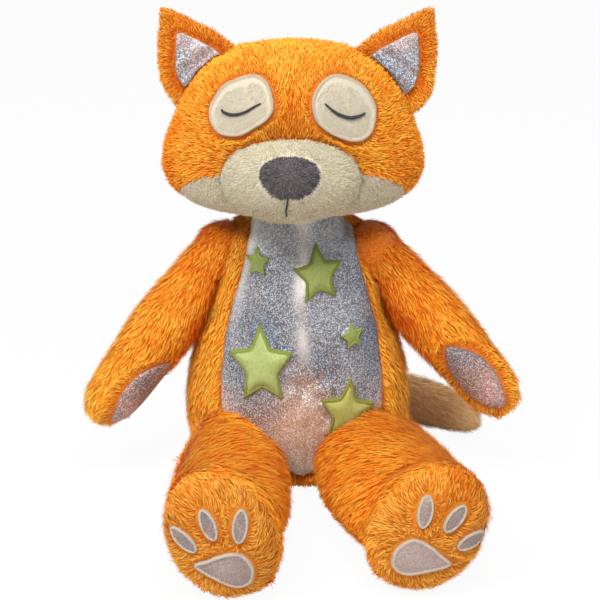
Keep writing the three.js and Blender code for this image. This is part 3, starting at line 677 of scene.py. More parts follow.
def joint_place(name):
    return Vector(next(j["pos_m"] for j in frame["joints"] if j["name"] == name))


def far_end(node, root):
    """The middle of the node's corners that lie farthest from its root."""
    co = np.array([v.co for v in frame["nodes"][node].data.vertices])
    reach = np.linalg.norm(co - np.array(root), axis=1)
    return co[reach > np.quantile(reach, 0.96)].mean(axis=0)


def search_tree(bm):
    tree = BVHTree.FromBMesh(bm)
    bm.free()
    return tree


def node_tree_of(*nodes):
    return search_tree(joined_copy(nodes))


def tree_of(obj):
    bm = bmesh.new()
    bm.from_mesh(obj.data)
    return search_tree(bm)


def distance_to(obj, *nodes):
    """How far each corner of the skin is from the CAD nodes."""
    tree = node_tree_of(*nodes)
    return np.array([tree.find_nearest(v.co)[3] for v in obj.data.vertices])


def nearer(obj, node, other, blur=0.0015, bias=0.0):
    """1 where the skin is nearer to the node than to the other, 0 where it isn't, and between across the blur."""
    gap = distance_to(obj, other) - distance_to(obj, node) + bias
    return np.clip(gap / blur / 2 + 0.5, 0, 1)


def inside(co, *others, depth=0.0012):
    """1 for the corners that lie inside one of the other skins, and 0 elsewhere."""
    hidden = np.zeros(len(co))
    for other in others:
        tree = tree_of(other)
        for index, point in enumerate(co):
            place, normal, _, gap = tree.find_nearest(Vector(point), 0.03)
            if place is not None and gap > depth and (Vector(point) - place).dot(normal) < 0:
                hidden[index] = 1
    return hidden


def near_joint(co, joint, reach):
    """1 for the corners that a joint's seat hides, and 0 elsewhere."""
    return (np.linalg.norm(co - np.array(joint_place(joint)), axis=1) < reach).astype(float)


def bare_round(obj, *patches, height, reach):
    """For each corner of a skin, raised by a height: its share of pile, how far the patches are, and the way away."""
    co = corners_of(obj) + normals_of(obj) * height
    near = np.full(len(co), 1.0)
    away = np.zeros((len(co), 3))
    for patch in patches:
        tree = tree_of(patch)
        for index, point in enumerate(co):
            place, _, _, gap = tree.find_nearest(Vector(point))
            if gap < near[index]:
                near[index] = gap
                away[index] = point - np.array(place)
    return np.clip((near - reach) / BARE_BLUR + 0.5, 0, 1), near, unit(away)


# Pile


def tuft_mesh(name, bend, sway, material, rows):
    """A tuft of pile, one unit long: a flat blade that narrows to its tip, arched outwards and swept aside."""
    bm = bmesh.new()
    bmesh.ops.create_grid(bm, x_segments=1, y_segments=rows, size=0.5, calc_uvs=True)
    layer = bm.loops.layers.uv.verify()
    for face in bm.faces:
        for loop in face.loops:
            loop[layer].uv = (loop.vert.co.x + 0.5, loop.vert.co.y + 0.5)
    for vert in bm.verts:
        across, along = vert.co.x, vert.co.y + 0.5
        width = (0.8 + 0.5 * along - 1.3 * along**2.4) if along < 0.999 else 0.0
        vert.co = Vector((across * width + sway * along**2, bend * math.sin(along * 2.6), along))
    bmesh.ops.remove_doubles(bm, verts=bm.verts, dist=1e-4)
    mesh = bpy.data.meshes.new(name)
    bm.to_mesh(mesh)
    bm.free()
    mesh.uv_layers[0].name = "Tuft"
    mesh.shade_smooth()
    mesh.materials.append(material)
    return bpy.data.objects.new(name, mesh)


def tuft_collection(material, rows):
    name = f"{TUFTS}{material.name} {rows}"
    if name in bpy.data.collections:
        return bpy.data.collections[name]
    group = bpy.data.collections.new(name)
    for index, (bend, sway) in enumerate(TUFT_SHAPES):
        group.objects.link(tuft_mesh(f"{name} {index}", bend, sway, material, rows))
    return group


def pile_nodes():
    """Scatters tufts over a skin and lays them along its comb direction."""
    if "Pile" in bpy.data.node_groups:
        return bpy.data.node_groups["Pile"]
    group = bpy.data.node_groups.new("Pile", "GeometryNodeTree")
    for name, kind in PILE_SOCKETS:
        group.interface.new_socket(name=name, in_out="INPUT", socket_type="NodeSocket" + kind)
    group.interface.new_socket(name="Pile", in_out="OUTPUT", socket_type="NodeSocketGeometry")
    add = functools.partial(add_node, group)

    def vector(operation, first, second=None, scale=None):
        inputs = {0: first}
        if second is not None:
            inputs[1] = second
        if scale is not None:
            inputs["Scale"] = scale
        return add("ShaderNodeVectorMath", inputs, operation=operation).outputs["Vector"]

    def number(operation, first, second):
        return add("ShaderNodeMath", {0: first, 1: second}, operation=operation).outputs[0]

    def named(name, data_type="FLOAT"):
        return add("GeometryNodeInputNamedAttribute", {"Name": name}, data_type=data_type).outputs["Attribute"]

    def kept_as(name, geometry, value, data_type, domain="POINT"):
        inputs = {"Geometry": geometry, "Name": name, "Value": value}
        node = add("GeometryNodeStoreNamedAttribute", inputs, data_type=data_type, domain=domain)
        return node.outputs["Geometry"]

    def chance(low, high, seed):
        return add("FunctionNodeRandomValue", {2: low, 3: high, "Seed": seed}, data_type="FLOAT").outputs[1]

    def drift(scale, detail, amount):
        """A direction that wanders from place to place."""
        noise = add("ShaderNodeTexNoise", {"Vector": where, "Scale": scale, "Detail": detail}).outputs["Color"]
        return vector("SCALE", vector("SUBTRACT", noise, (0.5, 0.5, 0.5)), scale=amount)

    given = add("NodeGroupInput").outputs
    where = add("GeometryNodeInputPosition").outputs["Position"]
    scatter = add(
        "GeometryNodeDistributePointsOnFaces",
        {"Mesh": given["Skin"], "Distance Min": given["Spacing"], "Seed": given["Seed"]},
        distribute_method="POISSON",
    )
    area = number("MULTIPLY", given["Spacing"], given["Spacing"])
    group.links.new(number("DIVIDE", 1.6, area), scatter.inputs["Density Max"])
    points = kept_as("out", scatter.outputs["Points"], scatter.outputs["Normal"], "FLOAT_VECTOR")
    bare = {0: named("pile"), 1: 0.5}
    bare = add("FunctionNodeCompare", bare, data_type="FLOAT", operation="LESS_THAN").outputs[0]
    points = add("GeometryNodeDeleteGeometry", {"Geometry": points, "Selection": bare}, domain="POINT")

    strayed = {"Min": (-1, -1, -1), "Max": (1, 1, 1), "Seed": given["Seed"]}
    strayed = add("FunctionNodeRandomValue", strayed, data_type="FLOAT_VECTOR").outputs["Value"]
    along = vector("ADD", named("comb", "FLOAT_VECTOR"), vector("SCALE", strayed, scale=given["Jitter"]))
    along = vector("ADD", along, drift(given["Clump Scale"], 1.0, given["Clumping"]))
    along = vector("ADD", along, drift(420.0, 0.0, 0.8))
    out = named("out", "FLOAT_VECTOR")
    lift = number("MULTIPLY", named("lift"), chance(0.6, 1.4, 13))
    along = vector("NORMALIZE", vector("ADD", along, vector("SCALE", out, scale=lift)))
    turned = add("FunctionNodeAlignRotationToVector", {"Vector": along}, axis="Z").outputs["Rotation"]
    turned = {"Rotation": turned, "Vector": out}
    turned = add("FunctionNodeAlignRotationToVector", turned, axis="Y", pivot_axis="Z").outputs["Rotation"]
    size = number("MULTIPLY", named("length"), chance(0.7, 1.25, 3))
    wide = number("MULTIPLY", given["Width"], chance(0.75, 1.3, 5))
    scale = add("ShaderNodeCombineXYZ", {0: wide, 1: wide, 2: size}).outputs[0]

    # Each tuft's place on the tones: the skin's field of painted light and shade, with mottled and random tone added.
    mottle = add("ShaderNodeTexNoise", {"Vector": where, "Scale": 60.0, "Detail": 3.0}).outputs[0]
    tone = number("ADD", number("MULTIPLY", mottle, 0.8), chance(-0.74, -0.06, 7))
    tone = add("ShaderNodeClamp", {0: number("ADD", named("warmth"), tone), 1: 0.01, 2: 0.96}).outputs[0]
    points = kept_as("tone", points.outputs["Geometry"], tone, "FLOAT")
    tufts = {"Collection": given["Tufts"], "Separate Children": True, "Reset Children": True}
    placed = {
        "Points": points,
        "Instance": add("GeometryNodeCollectionInfo", tufts).outputs["Instances"],
        "Pick Instance": True,
        "Instance Index": add("FunctionNodeRandomValue", {4: 0, 5: 99, "Seed": 11}, data_type="INT").outputs[2],
        "Rotation": turned,
        "Scale": scale,
    }
    placed = add("GeometryNodeInstanceOnPoints", placed).outputs["Instances"]
    real = add("GeometryNodeRealizeInstances", {"Geometry": placed}).outputs["Geometry"]

    # The map that the material reads: a tuft's tone across, and from its root to its tip up.
    local = add("ShaderNodeSeparateXYZ", {0: named("Tuft", "FLOAT_VECTOR")}).outputs
    column = number("ADD", named("tone"), number("MULTIPLY", local[0], 0.03))
    row = number("ADD", number("MULTIPLY", local[1], 0.98), 0.01)
    place = add("ShaderNodeCombineXYZ", {0: column, 1: row}).outputs[0]
    mapped = kept_as("OFBake", real, place, "FLOAT2", "CORNER")
    group.links.new(mapped, add("NodeGroupOutput").inputs["Pile"])
    return group


def parted(comb, near, away, reach=0.005, strength=0.8):
    """The comb directions, turned away from the patches near to them."""
    weight = (hump(near, reach) * strength)[:, None]
    return unit(comb) * (1 - weight) + away * weight


def shorter_near(near, least):
    """Shares of a tuft's length, down to the least beside a patch."""
    return least + (1 - least) * rising(near, 0, FULL_LENGTH_REACH)


def above_floor(base, directions, length):
    """Lengths of tufts that stop short of the floor."""
    room = np.maximum(corners_of(base)[:, 2] - SKIN_FLOOR, 0)
    return np.minimum(length, room / np.maximum(-directions[:, 2], 0.45) * 0.8)


def grow_pile(
    name, base, body, slot, material, share, comb, length, width, spacing,
    warmth=0.55, lift=0.28, clumping=0.75, clump_scale=110.0, rows=3, seed=1,
):
    """Tufts over the part of a skin where the share is at least half, combed along a field of directions."""
    group = pile_nodes()
    mesh = base.data.copy()
    mesh.name = name
    count = len(mesh.vertices)
    normals = normals_of(base)
    flat = unit(comb - normals * np.sum(comb * normals, axis=1, keepdims=True))
    length = above_floor(base, unit(flat + normals * lift), np.broadcast_to(length, count))
    store(mesh, "comb", "FLOAT_VECTOR", flat)
    store(mesh, "pile", "FLOAT", share * (length > LEAST_TUFT))
    store(mesh, "length", "FLOAT", length)
    store(mesh, "lift", "FLOAT", np.broadcast_to(lift, count))
    # Where on the tones the tufts lie: painted light where high, painted shade where low, with some real change of
    # tone.
    store(mesh, "warmth", "FLOAT", np.broadcast_to(warmth, count))
    obj = link(bpy.data.objects.new(name, mesh))
    modifier = obj.modifiers.new("pile", "NODES")
    modifier.node_group = group
    values = {
        "Tufts": tuft_collection(material, rows),
        "Spacing": spacing,
        "Width": width,
        "Jitter": JITTER,
        "Clumping": clumping,
        "Clump Scale": clump_scale,
        "Seed": seed,
    }
    for item in group.interface.items_tree:
        if item.in_out == "INPUT" and item.name in values:
            modifier[item.identifier] = values[item.name]
    bake_modifiers(obj)
    keep_above(obj, TUFT_FLOOR)
    kept = {"position", "OFBake", "material_index", "sharp_face", ".edge_verts", ".corner_vert", ".corner_edge"}
    for attribute in [a.name for a in obj.data.attributes if a.name not in kept and not a.is_required]:
        obj.data.attributes.remove(obj.data.attributes[attribute])
    if not obj.data.materials:
        obj.data.materials.append(material)
    return dress(obj, body, slot)


def split_pile(name, parts, seed=1, **settings):
    """The pile of one skin in several pieces, each over its own share."""
    for index, (part, share) in enumerate(parts):
        grow_pile(f"{name}_{part}", share=share, seed=seed + index, **settings)


def quarters(share, front, right):
    """A share of pile in four parts, so that each piece stays light."""
    return [
        ("front_right", share * front * right),
        ("front_left", share * front * ~right),
        ("back_right", share * ~front * right),
        ("back_left", share * ~front * ~right),
    ]


def velour(length=1.0, width=1.0, spacing=1.0):
    """Sizes of the short pile, in shares of the usual ones."""
    sizes = pile_sizes()
    return {
        "length": sizes.short_length * length,
        "width": sizes.short_width * width,
        "spacing": sizes.short_spacing * spacing,
        "rows": 2,
    }


# Sewn patches


def on_curve(a, b, c, d, share):
    """A place from b to c on the smooth curve through all four, which are numbers or vectors."""
    return 0.5 * (
        (2 * b) + (c - a) * share + (2 * a - 5 * b + 4 * c - d) * share * share + (3 * b - a - 3 * c + d) * share**3
    )


def ellipse_outline(width, height, turn=0.0, count=40):
    points = []
    for step in range(count):
        angle = 2 * math.pi * step / count
        points.append(Matrix.Rotation(turn, 2) @ Vector((width / 2 * math.cos(angle), height / 2 * math.sin(angle))))
    return points


def star_outline(radius, turn=0.0, inner=0.5, rounding=0.12):
    """A five-pointed star with slightly rounded corners."""
    corners = []
    for step in range(10):
        reach = radius if step % 2 == 0 else radius * inner
        angle = math.pi / 2 + turn + math.pi * step / 5
        corners.append(Vector((reach * math.cos(angle), reach * math.sin(angle))))
    points = []
    for index, corner in enumerate(corners):
        before, after = corners[index - 1], corners[(index + 1) % 10]
        start = corner.lerp(before, rounding)
        stop = corner.lerp(after, rounding)
        points += [start, start.lerp(corner, 0.55).lerp(stop.lerp(corner, 0.55), 0.5), stop]
    return spaced(points, radius / 9)


def spline_outline(points, count):
    """A smooth closed loop through the points."""
    total = len(points)
    steps = max(2, count // total)
    made = []
    for index in range(total):
        around = [Vector(points[(index + k) % total]) for k in (-1, 0, 1, 2)]
        made += [on_curve(*around, step / steps) for step in range(steps)]
    return made


def spaced(points, gap):
    """The closed loop with points added on its long edges."""
    made = []
    for index, point in enumerate(points):
        after = points[(index + 1) % len(points)]
        steps = max(1, round((after - point).length / gap))
        made += [point.lerp(after, step / steps) for step in range(steps)]
    return made


def edge_place(point, outline, lengths):
    """How far a point is from the outline, and how far along the outline that is."""
    best = (1e9, 0.0)
    for index, start in enumerate(outline):
        stop = outline[(index + 1) % len(outline)]
        side = stop - start
        share = max(0.0, min(1.0, (point - start).dot(side) / max(side.length_squared, 1e-12)))
        gap = (point - (start + side * share)).length
        if gap < best[0]:
            best = (gap, lengths[index] + side.length * share)
    return best


def lay(bm, centre, across, up, target, heights, reach=0.0025):
    """Lays a flat mesh on a skin, each corner at its own height, and gives it a thickness."""
    stand_off, ray_length, thickness = 0.03, 0.06, 0.0007
    facing = -across.cross(up).normalized()
    if facing.y > 0.5:
        facing = -facing
    for vert in bm.verts:
        start = centre + across * vert.co.x + up * vert.co.y
        found = []
        for right, rise in ((0, 0), (1, 0), (-1, 0), (0, 1), (0, -1)):
            origin = start + (across * right + up * rise) * reach + facing * stand_off
            hit, normal, _, _ = target.ray_cast(origin, -facing, ray_length)
            if hit is not None:
                found.append(((hit - start).dot(facing), normal))
        if found:
            normal = sum((normal for _, normal in found), Vector()).normalized()
            hit = start + facing * (sum(place for place, _ in found) / len(found))
        else:
            hit, normal, _, _ = target.find_nearest(start)
        vert.co = hit + (normal + facing).normalized() * heights[vert]
    bm.normal_update()
    toward = sum((face.normal for face in bm.faces), Vector())
    if toward.dot(facing) < 0:
        bmesh.ops.reverse_faces(bm, faces=bm.faces)
    under = bm.verts[:]
    bmesh.ops.extrude_face_region(bm, geom=bm.faces[:], use_keep_orig=True)
    bmesh.ops.translate(bm, verts=under, vec=-facing * thickness)
    bmesh.ops.recalc_face_normals(bm, faces=bm.faces)


def cut_in_cells(bm, outline, cell):
    """Cuts a flat mesh along a grid of lines, so that it can bend."""
    for axis in (0, 1):
        low, high = min(p[axis] for p in outline), max(p[axis] for p in outline)
        steps = max(2, math.ceil((high - low) / cell))
        for step in range(1, steps):
            point, normal = Vector((0, 0, 0)), Vector((0, 0, 0))
            point[axis] = low + (high - low) * step / steps
            normal[axis] = 1
            geometry = bm.verts[:] + bm.edges[:] + bm.faces[:]
            bmesh.ops.bisect_plane(bm, geom=geometry, dist=1e-6, plane_co=point, plane_no=normal)
    bmesh.ops.remove_doubles(bm, verts=bm.verts, dist=cell * 0.12)


def padded_height(gap, border, ridge, puff, base):
    """The height of a patch at a distance from its edge: a ridge of stitches, then the padding."""
    if gap < 1e-6:
        return base * 0.3
    if gap < border:
        return base + ridge * math.sin(math.pi * gap / border) ** 0.8 + puff * 0.15 * gap / border
    return base + puff * (0.15 + 0.85 * (1 - math.exp(-(gap - border) / 0.0022)))


def sewn_patch(
    name, outline, centre, target, materials, border=0.0, ridge=0.0, puff=0.0010, base=0.0004, cell=0.0006,
    across=RIGHTWARD, up=UPWARD,
):
    """A patch of cloth on a skin: a ridge of satin stitch round a padded middle.

    The outline is in the plane of across and up."""
    lengths = [0.0]
    for index, point in enumerate(outline):
        lengths.append(lengths[-1] + (outline[(index + 1) % len(outline)] - point).length)
    total = lengths[-1]
    bm = bmesh.new()
    rim = [bm.verts.new((p.x, p.y, 0)) for p in outline]
    hub = bm.verts.new((sum(p.x for p in outline) / len(outline), sum(p.y for p in outline) / len(outline), 0))
    for index, vert in enumerate(rim):
        bm.faces.new((vert, rim[(index + 1) % len(rim)], hub))
    cut_in_cells(bm, outline, cell)
    places = {vert: edge_place(vert.co.xy, outline, lengths) for vert in bm.verts}
    layer = bm.loops.layers.uv.new("Stitch")
    for face in bm.faces:
        sides = [places[loop.vert] for loop in face.loops]
        far = max(side[1] for side in sides)
        face.material_index = int(bool(border) and np.mean([side[0] for side in sides]) < border)
        for loop, (gap, along) in zip(face.loops, sides):
            loop[layer].uv = (along + (total if far - along > total / 2 else 0), gap)
    heights = {vert: padded_height(places[vert][0], border, ridge, puff, base) for vert in bm.verts}
    lay(bm, centre, across, up, target, heights)
    return object_from(name, bm, *materials)


def thread_stroke(name, places, centre, target, material, lift, steps=40, sides=4):
    """A stroke of thread on a skin, through places that each hold half the stroke's thickness."""
    bm = bmesh.new()
    bmesh.ops.create_grid(bm, x_segments=steps, y_segments=sides, size=1)
    layer = bm.loops.layers.uv.new("Stitch")
    heights, maps = {}, {}
    for vert in bm.verts:
        place = (vert.co.x + 1) / 2 * (len(places) - 1)
        first = min(int(place), len(places) - 2)
        around = [places[min(max(first + k, 0), len(places) - 1)] for k in (-1, 0, 1, 2)]
        x, z, half = (on_curve(*values, place - first) for values in zip(*around))
        way = (Vector(around[2][:2]) - Vector(around[1][:2])).normalized()
        side = Vector((-way.y, way.x)) * half * vert.co.y
        maps[vert] = (x * way.x + z * way.y, vert.co.y * 0.001)
        heights[vert] = lift + half * 0.9 * math.sqrt(max(0.0, 1 - vert.co.y**2))
        vert.co = Vector((x + side.x, z + side.y, 0))
    for face in bm.faces:
        for loop in face.loops:
            loop[layer].uv = maps[loop.vert]
    lay(bm, centre, RIGHTWARD, UPWARD, target, heights, reach=0.0004)
    return object_from(name, bm, material)


# The stage


def lay_floor():
    """A pale floor that shows nearly as light as the studio behind it."""
    bm = bmesh.new()
    bmesh.ops.create_grid(bm, x_segments=1, y_segments=1, size=4)
    nodes = Nodes("pale floor")
    nodes.shader.inputs["Base Color"].default_value = (0.85, 0.85, 0.85, 1)
    nodes.finish(0.9)
    glow = nodes.add("ShaderNodeEmission", {"Color": WHITE, "Strength": 1.0}).outputs[0]
    seen = nodes.add("ShaderNodeLightPath").outputs["Is Camera Ray"]
    share = nodes.add("ShaderNodeMath", {0: seen, 1: FLOOR_GLOW}, operation="MULTIPLY").outputs[0]
    mix = nodes.add("ShaderNodeMixShader", {0: share, 1: nodes.shader.outputs[0], 2: glow})
    show(nodes.tree, mix.outputs[0])
    floor = object_from("floor", bm, nodes.material, smooth=False)


def light_studio(scene):
    """A soft white studio, white behind the fox, with three lamps."""
    world = bpy.data.worlds.new("studio")
    world.use_nodes = True
    scene.world = world
    tree = world.node_tree
    dim = next(n for n in tree.nodes if n.type == "BACKGROUND")
    dim.inputs["Color"].default_value = WHITE
    dim.inputs["Strength"].default_value = STUDIO_STRENGTH
    white = add_node(tree, "ShaderNodeBackground", {"Color": WHITE, "Strength": 1.0}).outputs[0]
    path = add_node(tree, "ShaderNodeLightPath").outputs
    rays = {0: path["Is Camera Ray"], 1: path["Is Transmission Ray"]}
    seen = add_node(tree, "ShaderNodeMath", rays, operation="MAXIMUM").outputs[0]
    mix = add_node(tree, "ShaderNodeMixShader", {0: seen, 1: dim.outputs[0], 2: white})
    show(tree, mix.outputs[0])
    for name, place, aim, size, power in LAMPS:
        data = bpy.data.lights.new(name, "AREA")
        data.shape = "DISK"
        data.size = size
        data.energy = power
        lamp = link(bpy.data.objects.new(name, data))
        lamp.location = place
        lamp.rotation_euler = (Vector(aim) - Vector(place)).to_track_quat("-Z", "Y").to_euler()


def place_camera(scene):
    lens = bpy.data.cameras.new("camera")
    lens.lens = CAMERA_LENS
    lens.sensor_width = CAMERA_SENSOR
    camera = link(bpy.data.objects.new("camera", lens))
    camera.location = CAMERA_TARGET + Vector((0, -math.cos(CAMERA_TILT), math.sin(CAMERA_TILT)))
    camera.rotation_euler = (CAMERA_TARGET - camera.location).to_track_quat("-Z", "Y").to_euler()
    scene.camera = camera


class FOX_OT_stage(bpy.types.Operator):
    """Sets the floor, the light and the camera"""

    bl_idname = "fox.stage"
    bl_label = "Stage"

    def execute(self, context):
        scene = context.scene
        scene.view_settings.view_transform = "Standard"
        lay_floor()
        light_studio(scene)
        place_camera(scene)
        return {"FINISHED"}


# The torso and its belly


def torso_skin():
    """The torso's skin, fuller at the shoulders and sunk under the belly's cloth."""
    shoulder_low, shoulder_span, chest_half, chest_span = 0.128, 0.015, 0.02, 0.008
    fullness, seam_clear, seam_span = 0.0055, 0.002, 0.009
    sink, sink_reach, front_limit = 0.0036, 0.004, -0.01
    nodes = ["torso_cover", "belly_panel", "torso_filling", *STAR_NODES]
    base = skin("torso_skin", nodes, orange_backing(), voxel=0.0024, smooth=6, inset=pile_sizes().body_inset)
    co = corners_of(base)
    shoulder = rising(co[:, 2], shoulder_low, shoulder_span) * rising(np.abs(co[:, 0]), chest_half, chest_span)
    gap = distance_to(base, "belly_panel")
    under_cloth = (1 - rising(gap, 0, sink_reach)) * (co[:, 1] < front_limit)
    swell(base, fullness * shoulder * rising(gap, seam_clear, seam_span) - sink * under_cloth)
    stuff(base)
    dress(base, "torso", "orange_pile", "torso_cover", "torso_filling")


def fill_neckline(belly, low=0.134, high=0.165, forward=0.003, front_limit=-0.008, ahead=-0.2):
    """Draws the cloth straight across the hollow between the chest and the neck."""
    tree = tree_of(belly)

    def front(x, z):
        hit = tree.ray_cast(Vector((x, ahead, z)), -FRONT)[0]
        return None if hit is None else hit.y

    for vertex in belly.data.vertices:
        co = vertex.co
        if co.z <= low or co.y > front_limit:
            continue
        if co.z >= high:
            vertex.co.y -= forward
            continue
        ends = [front(co.x * 0.9, low), front(co.x * 0.9, high)]
        if None in ends:
            continue
        share = (co.z - low) / (high - low)
        flat = ends[0] * (1 - share) + (ends[1] - forward) * share
        if co.y > flat:
            vertex.co.y = flat


def fold_belly(belly):
    """Presses the seam, the dimple and soft folds into the cloth, and stores where it carries a painted highlight and
    where a painted reflection of the legs.
    """
    front_limit = -0.02
    highlight_x, highlight_sway, highlight_width, highlight_low, highlight_span = 0.0027, 0.0012, 0.0040, 0.078, 0.02
    side_x, side_top, side_slope, side_width, side_low, side_span = 0.0270, 0.150, 0.22, 0.0035, 0.09, 0.03
    chest_height, chest_span = 0.153, 0.012
    reflection_top, reflection_sway, reflection_span = 0.078, 0.012, 0.038
    seam_depth, seam_width, seam_end = 0.0010, 0.0011, 0.008
    dimple_depth, dimple_radius = 0.0022, 0.0058
    crease_height, crease_reach, crease_width = 0.0007, 0.013, 0.008
    fold_height, ridge_height = 0.0006, 0.0009

    co = corners_of(belly)
    x, z = co[:, 0], co[:, 2]
    # A painted highlight: a wavy stripe down the middle, a fainter one to one side, and a faint band across the
    # chest. The middle stripe also raises a ridge in the cloth.
    stripe = highlight_x + highlight_sway * np.sin(z * 95)
    streak = hump(x - stripe, highlight_width) * rising(z, highlight_low, highlight_span)
    streak *= 0.6 + 0.4 * np.sin(z * 150 + 1.0)
    side = 0.4 * hump(x + side_x + (side_top - z) * side_slope, side_width) * rising(z, side_low, side_span)
    chest = 0.14 * hump(z - chest_height, chest_span)
    store(belly.data, "gleam", "FLOAT", np.minimum(0.85, streak + side + chest))
    # Painted reflection of the legs: the silver turns tan low on the belly, under a wavy edge.
    below = reflection_top - z + reflection_sway * np.sin(x * 110 + 1.2)
    store(belly.data, "warm", "FLOAT", 0.92 * rising(below, 0, reflection_span))

    groove = seam_depth * rising(SEAM_HIGH - z, 0, seam_end) * (z > SEAM_LOW) * hump(x - SEAM_X, seam_width)
    reach = np.hypot(x - DIMPLE_X, z - DIMPLE_Z)
    turn = np.arctan2(z - DIMPLE_Z, x - DIMPLE_X)
    pit = dimple_depth * hump(reach, dimple_radius)
    creases = crease_height * np.cos(turn * 5 + 0.8) * hump(reach - crease_reach, crease_width)
    folds = fold_height * np.sin(x * 150 + np.sin(z * 42) * 1.4) * np.sin(z * 34 + 0.6)
    co[:, 1] -= (folds + creases + ridge_height * streak - pit - groove) * (co[:, 1] <= front_limit)
    set_corners(belly, co)


def belly_cloth():
    """The silver cloth let into the belly."""
    tones = colours()
    silver = glitter_material("silver cloth", tones.silver, cloth_sizes().glitter_dot, warm=tones.tan)
    belly = skin("belly_cloth", ["belly_panel", *STAR_NODES], silver, voxel=0.0013, smooth=14, inset=-0.0003)
    fill_neckline(belly)
    fold_belly(belly)
    dress(belly, "torso", "silver_cloth", "belly_panel")


class FOX_OT_torso(bpy.types.Operator):
    """Makes the torso's skin, the silver belly with its seam and dimple, and the roll of the neck"""

    bl_idname = "fox.torso"
    bl_label = "Torso"

    def execute(self, context):
        torso_skin()
        belly_cloth()
        neck = skin("neck_roll", ["neck_filling"], orange_backing(), voxel=0.002, smooth=3, inset=0)
        dress(neck, "neck", "orange_pile", "neck_filling")
        return {"FINISHED"}


class FOX_OT_torso_pile(bpy.types.Operator):
    """Grows the torso's orange pile round the belly"""

    bl_idname = "fox.torso_pile"
    bl_label = "Torso pile"

    def execute(self, context):
        sizes = pile_sizes()
        nape, nape_span, floor_shade_reach = 0.132, 0.012, 0.012
        base = named_object("torso_skin")
        co = corners_of(base)
        bare, near, away = bare_round(base, named_object("belly_cloth"), height=sizes.body_inset, reach=0.0006)
        limbs = [f"{kind}_skin_{side}" for kind in ("arm", "leg") for side, _ in SIDES]
        hidden = inside(co, *(named_object(name) for name in (*limbs, "tail_skin")), depth=0.0035)
        comb = np.tile((0.0, 0.0, -1.0), (len(co), 1))
        comb[:, 0] += co[:, 0] * 9
        comb[:, 1] -= 0.25
        share = bare * (1 - hidden) * (co[:, 2] > ROOT_FLOOR)
        split_pile(
            "torso_pile",
            quarters(share, co[:, 1] < 0, co[:, 0] < 0),
            base=base,
            body="torso",
            slot="orange_pile",
            material=body_pile(),
            comb=parted(unit(comb), near, away, strength=0.3),
            length=sizes.body_length * shorter_near(near, 0.55) * (1 - 0.35 * rising(co[:, 2], nape, nape_span)),
            width=sizes.tuft_width,
            spacing=sizes.body_spacing,
            # Painted shade: the pile deepens towards the floor.
            warmth=0.8 - 0.4 * np.exp(-np.maximum(co[:, 2] - floor_shade_reach, 0) / floor_shade_reach),
            lift=0.22,
            clumping=0.6,
        )
        return {"FINISHED"}


def sew_star(name, turn, wide, tall, materials, drop=0.0, inner=0.5, **settings):
    """A star on the belly, at its solid's place and as large, but turned, widened and heightened."""
    low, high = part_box(name)
    radius = (high.z - low.z) / STAR_HEIGHT_SHARE
    outline = [Vector((p.x * wide, p.y * tall)) for p in star_outline(radius, math.radians(turn), inner)]
    centre = front_middle(name) - UPWARD * (radius * STAR_DROP_SHARE * tall + drop)
    patch = sewn_patch(name + "_patch", outline, centre, tree_of(named_object("belly_cloth")), materials, **settings)
    dress(patch, "torso", "star_cloth", name)


class FOX_OT_stars(bpy.types.Operator):
    """Sews the three large and two small stars on the belly"""

    bl_idname = "fox.stars"
    bl_label = "Stars"

    def execute(self, context):
        cloth, tones = cloth_sizes(), colours()
        width, height = cloth.border_width, cloth.border_height
        for name, turn, wide, tall, drop, tint in STARS:
            materials = (
                satin_material(f"star satin {name}", toned(tones.star, *tint)),
                stitch_material(f"star stitch {name}", toned(tones.star_border, *tint), cloth.thread_pitch),
            )
            padding = {"border": width, "ridge": height, "puff": cloth.star_puff}
            sew_star(name, turn, wide, tall, materials, drop, **padding)
        materials = (
            satin_material("small star middle", toned(tones.star_border, 0.75, 0.8, 1.3)),
            stitch_material("small star stitch", toned(tones.star_border, 1.15), cloth.thread_pitch),
        )
        padding = {"border": width * 0.5, "ridge": height * 0.7, "puff": 0.0005, "base": 0.0013, "cell": 0.0004}
        for name, turn, wide, tall in SMALL_STARS:
            sew_star(name, turn, wide, tall, materials, inner=0.46, **padding)
        return {"FINISHED"}


# The head


class FOX_OT_head(bpy.types.Operator):
    """Makes the head's skin, cream below the seam of the jaw"""

    bl_idname = "fox.head"
    bl_label = "Head"

    def execute(self, context):
        groove, groove_reach = 0.0016, 0.005
        nodes = ["head_cover", "jaw_panel", "head_filling"]
        base = skin("head_skin", nodes, orange_backing(), voxel=0.0022, smooth=14, inset=pile_sizes().skin_inset)
        swell(base, -groove * hump(distance_to(base, "muzzle"), groove_reach))
        stuff(base, most=0.0012)
        paint_regions(base, nearer(base, "jaw_panel", "head_cover"), cream_backing())
        dress(base, "head", "orange_pile", "head_cover", "head_filling", "jaw_panel")
        return {"FINISHED"}


def head_comb(co, seam, back):
    """The pile of the head runs out from the nose in front, down behind, and level along the jaw's seam."""
    outward = co - np.array(middle_of("nose"))
    outward[:, 1] *= 0.35
    comb = unit(outward)
    comb[back] = unit(np.column_stack((co[back, 0] * 4, np.full(back.sum(), 0.2), np.full(back.sum(), -1.0))))
    level = np.column_stack((np.sign(co[:, 0]), np.full(len(co), 0.3), np.full(len(co), -0.5)))
    return unit(comb) * (1 - seam)[:, None] + unit(level) * seam[:, None]


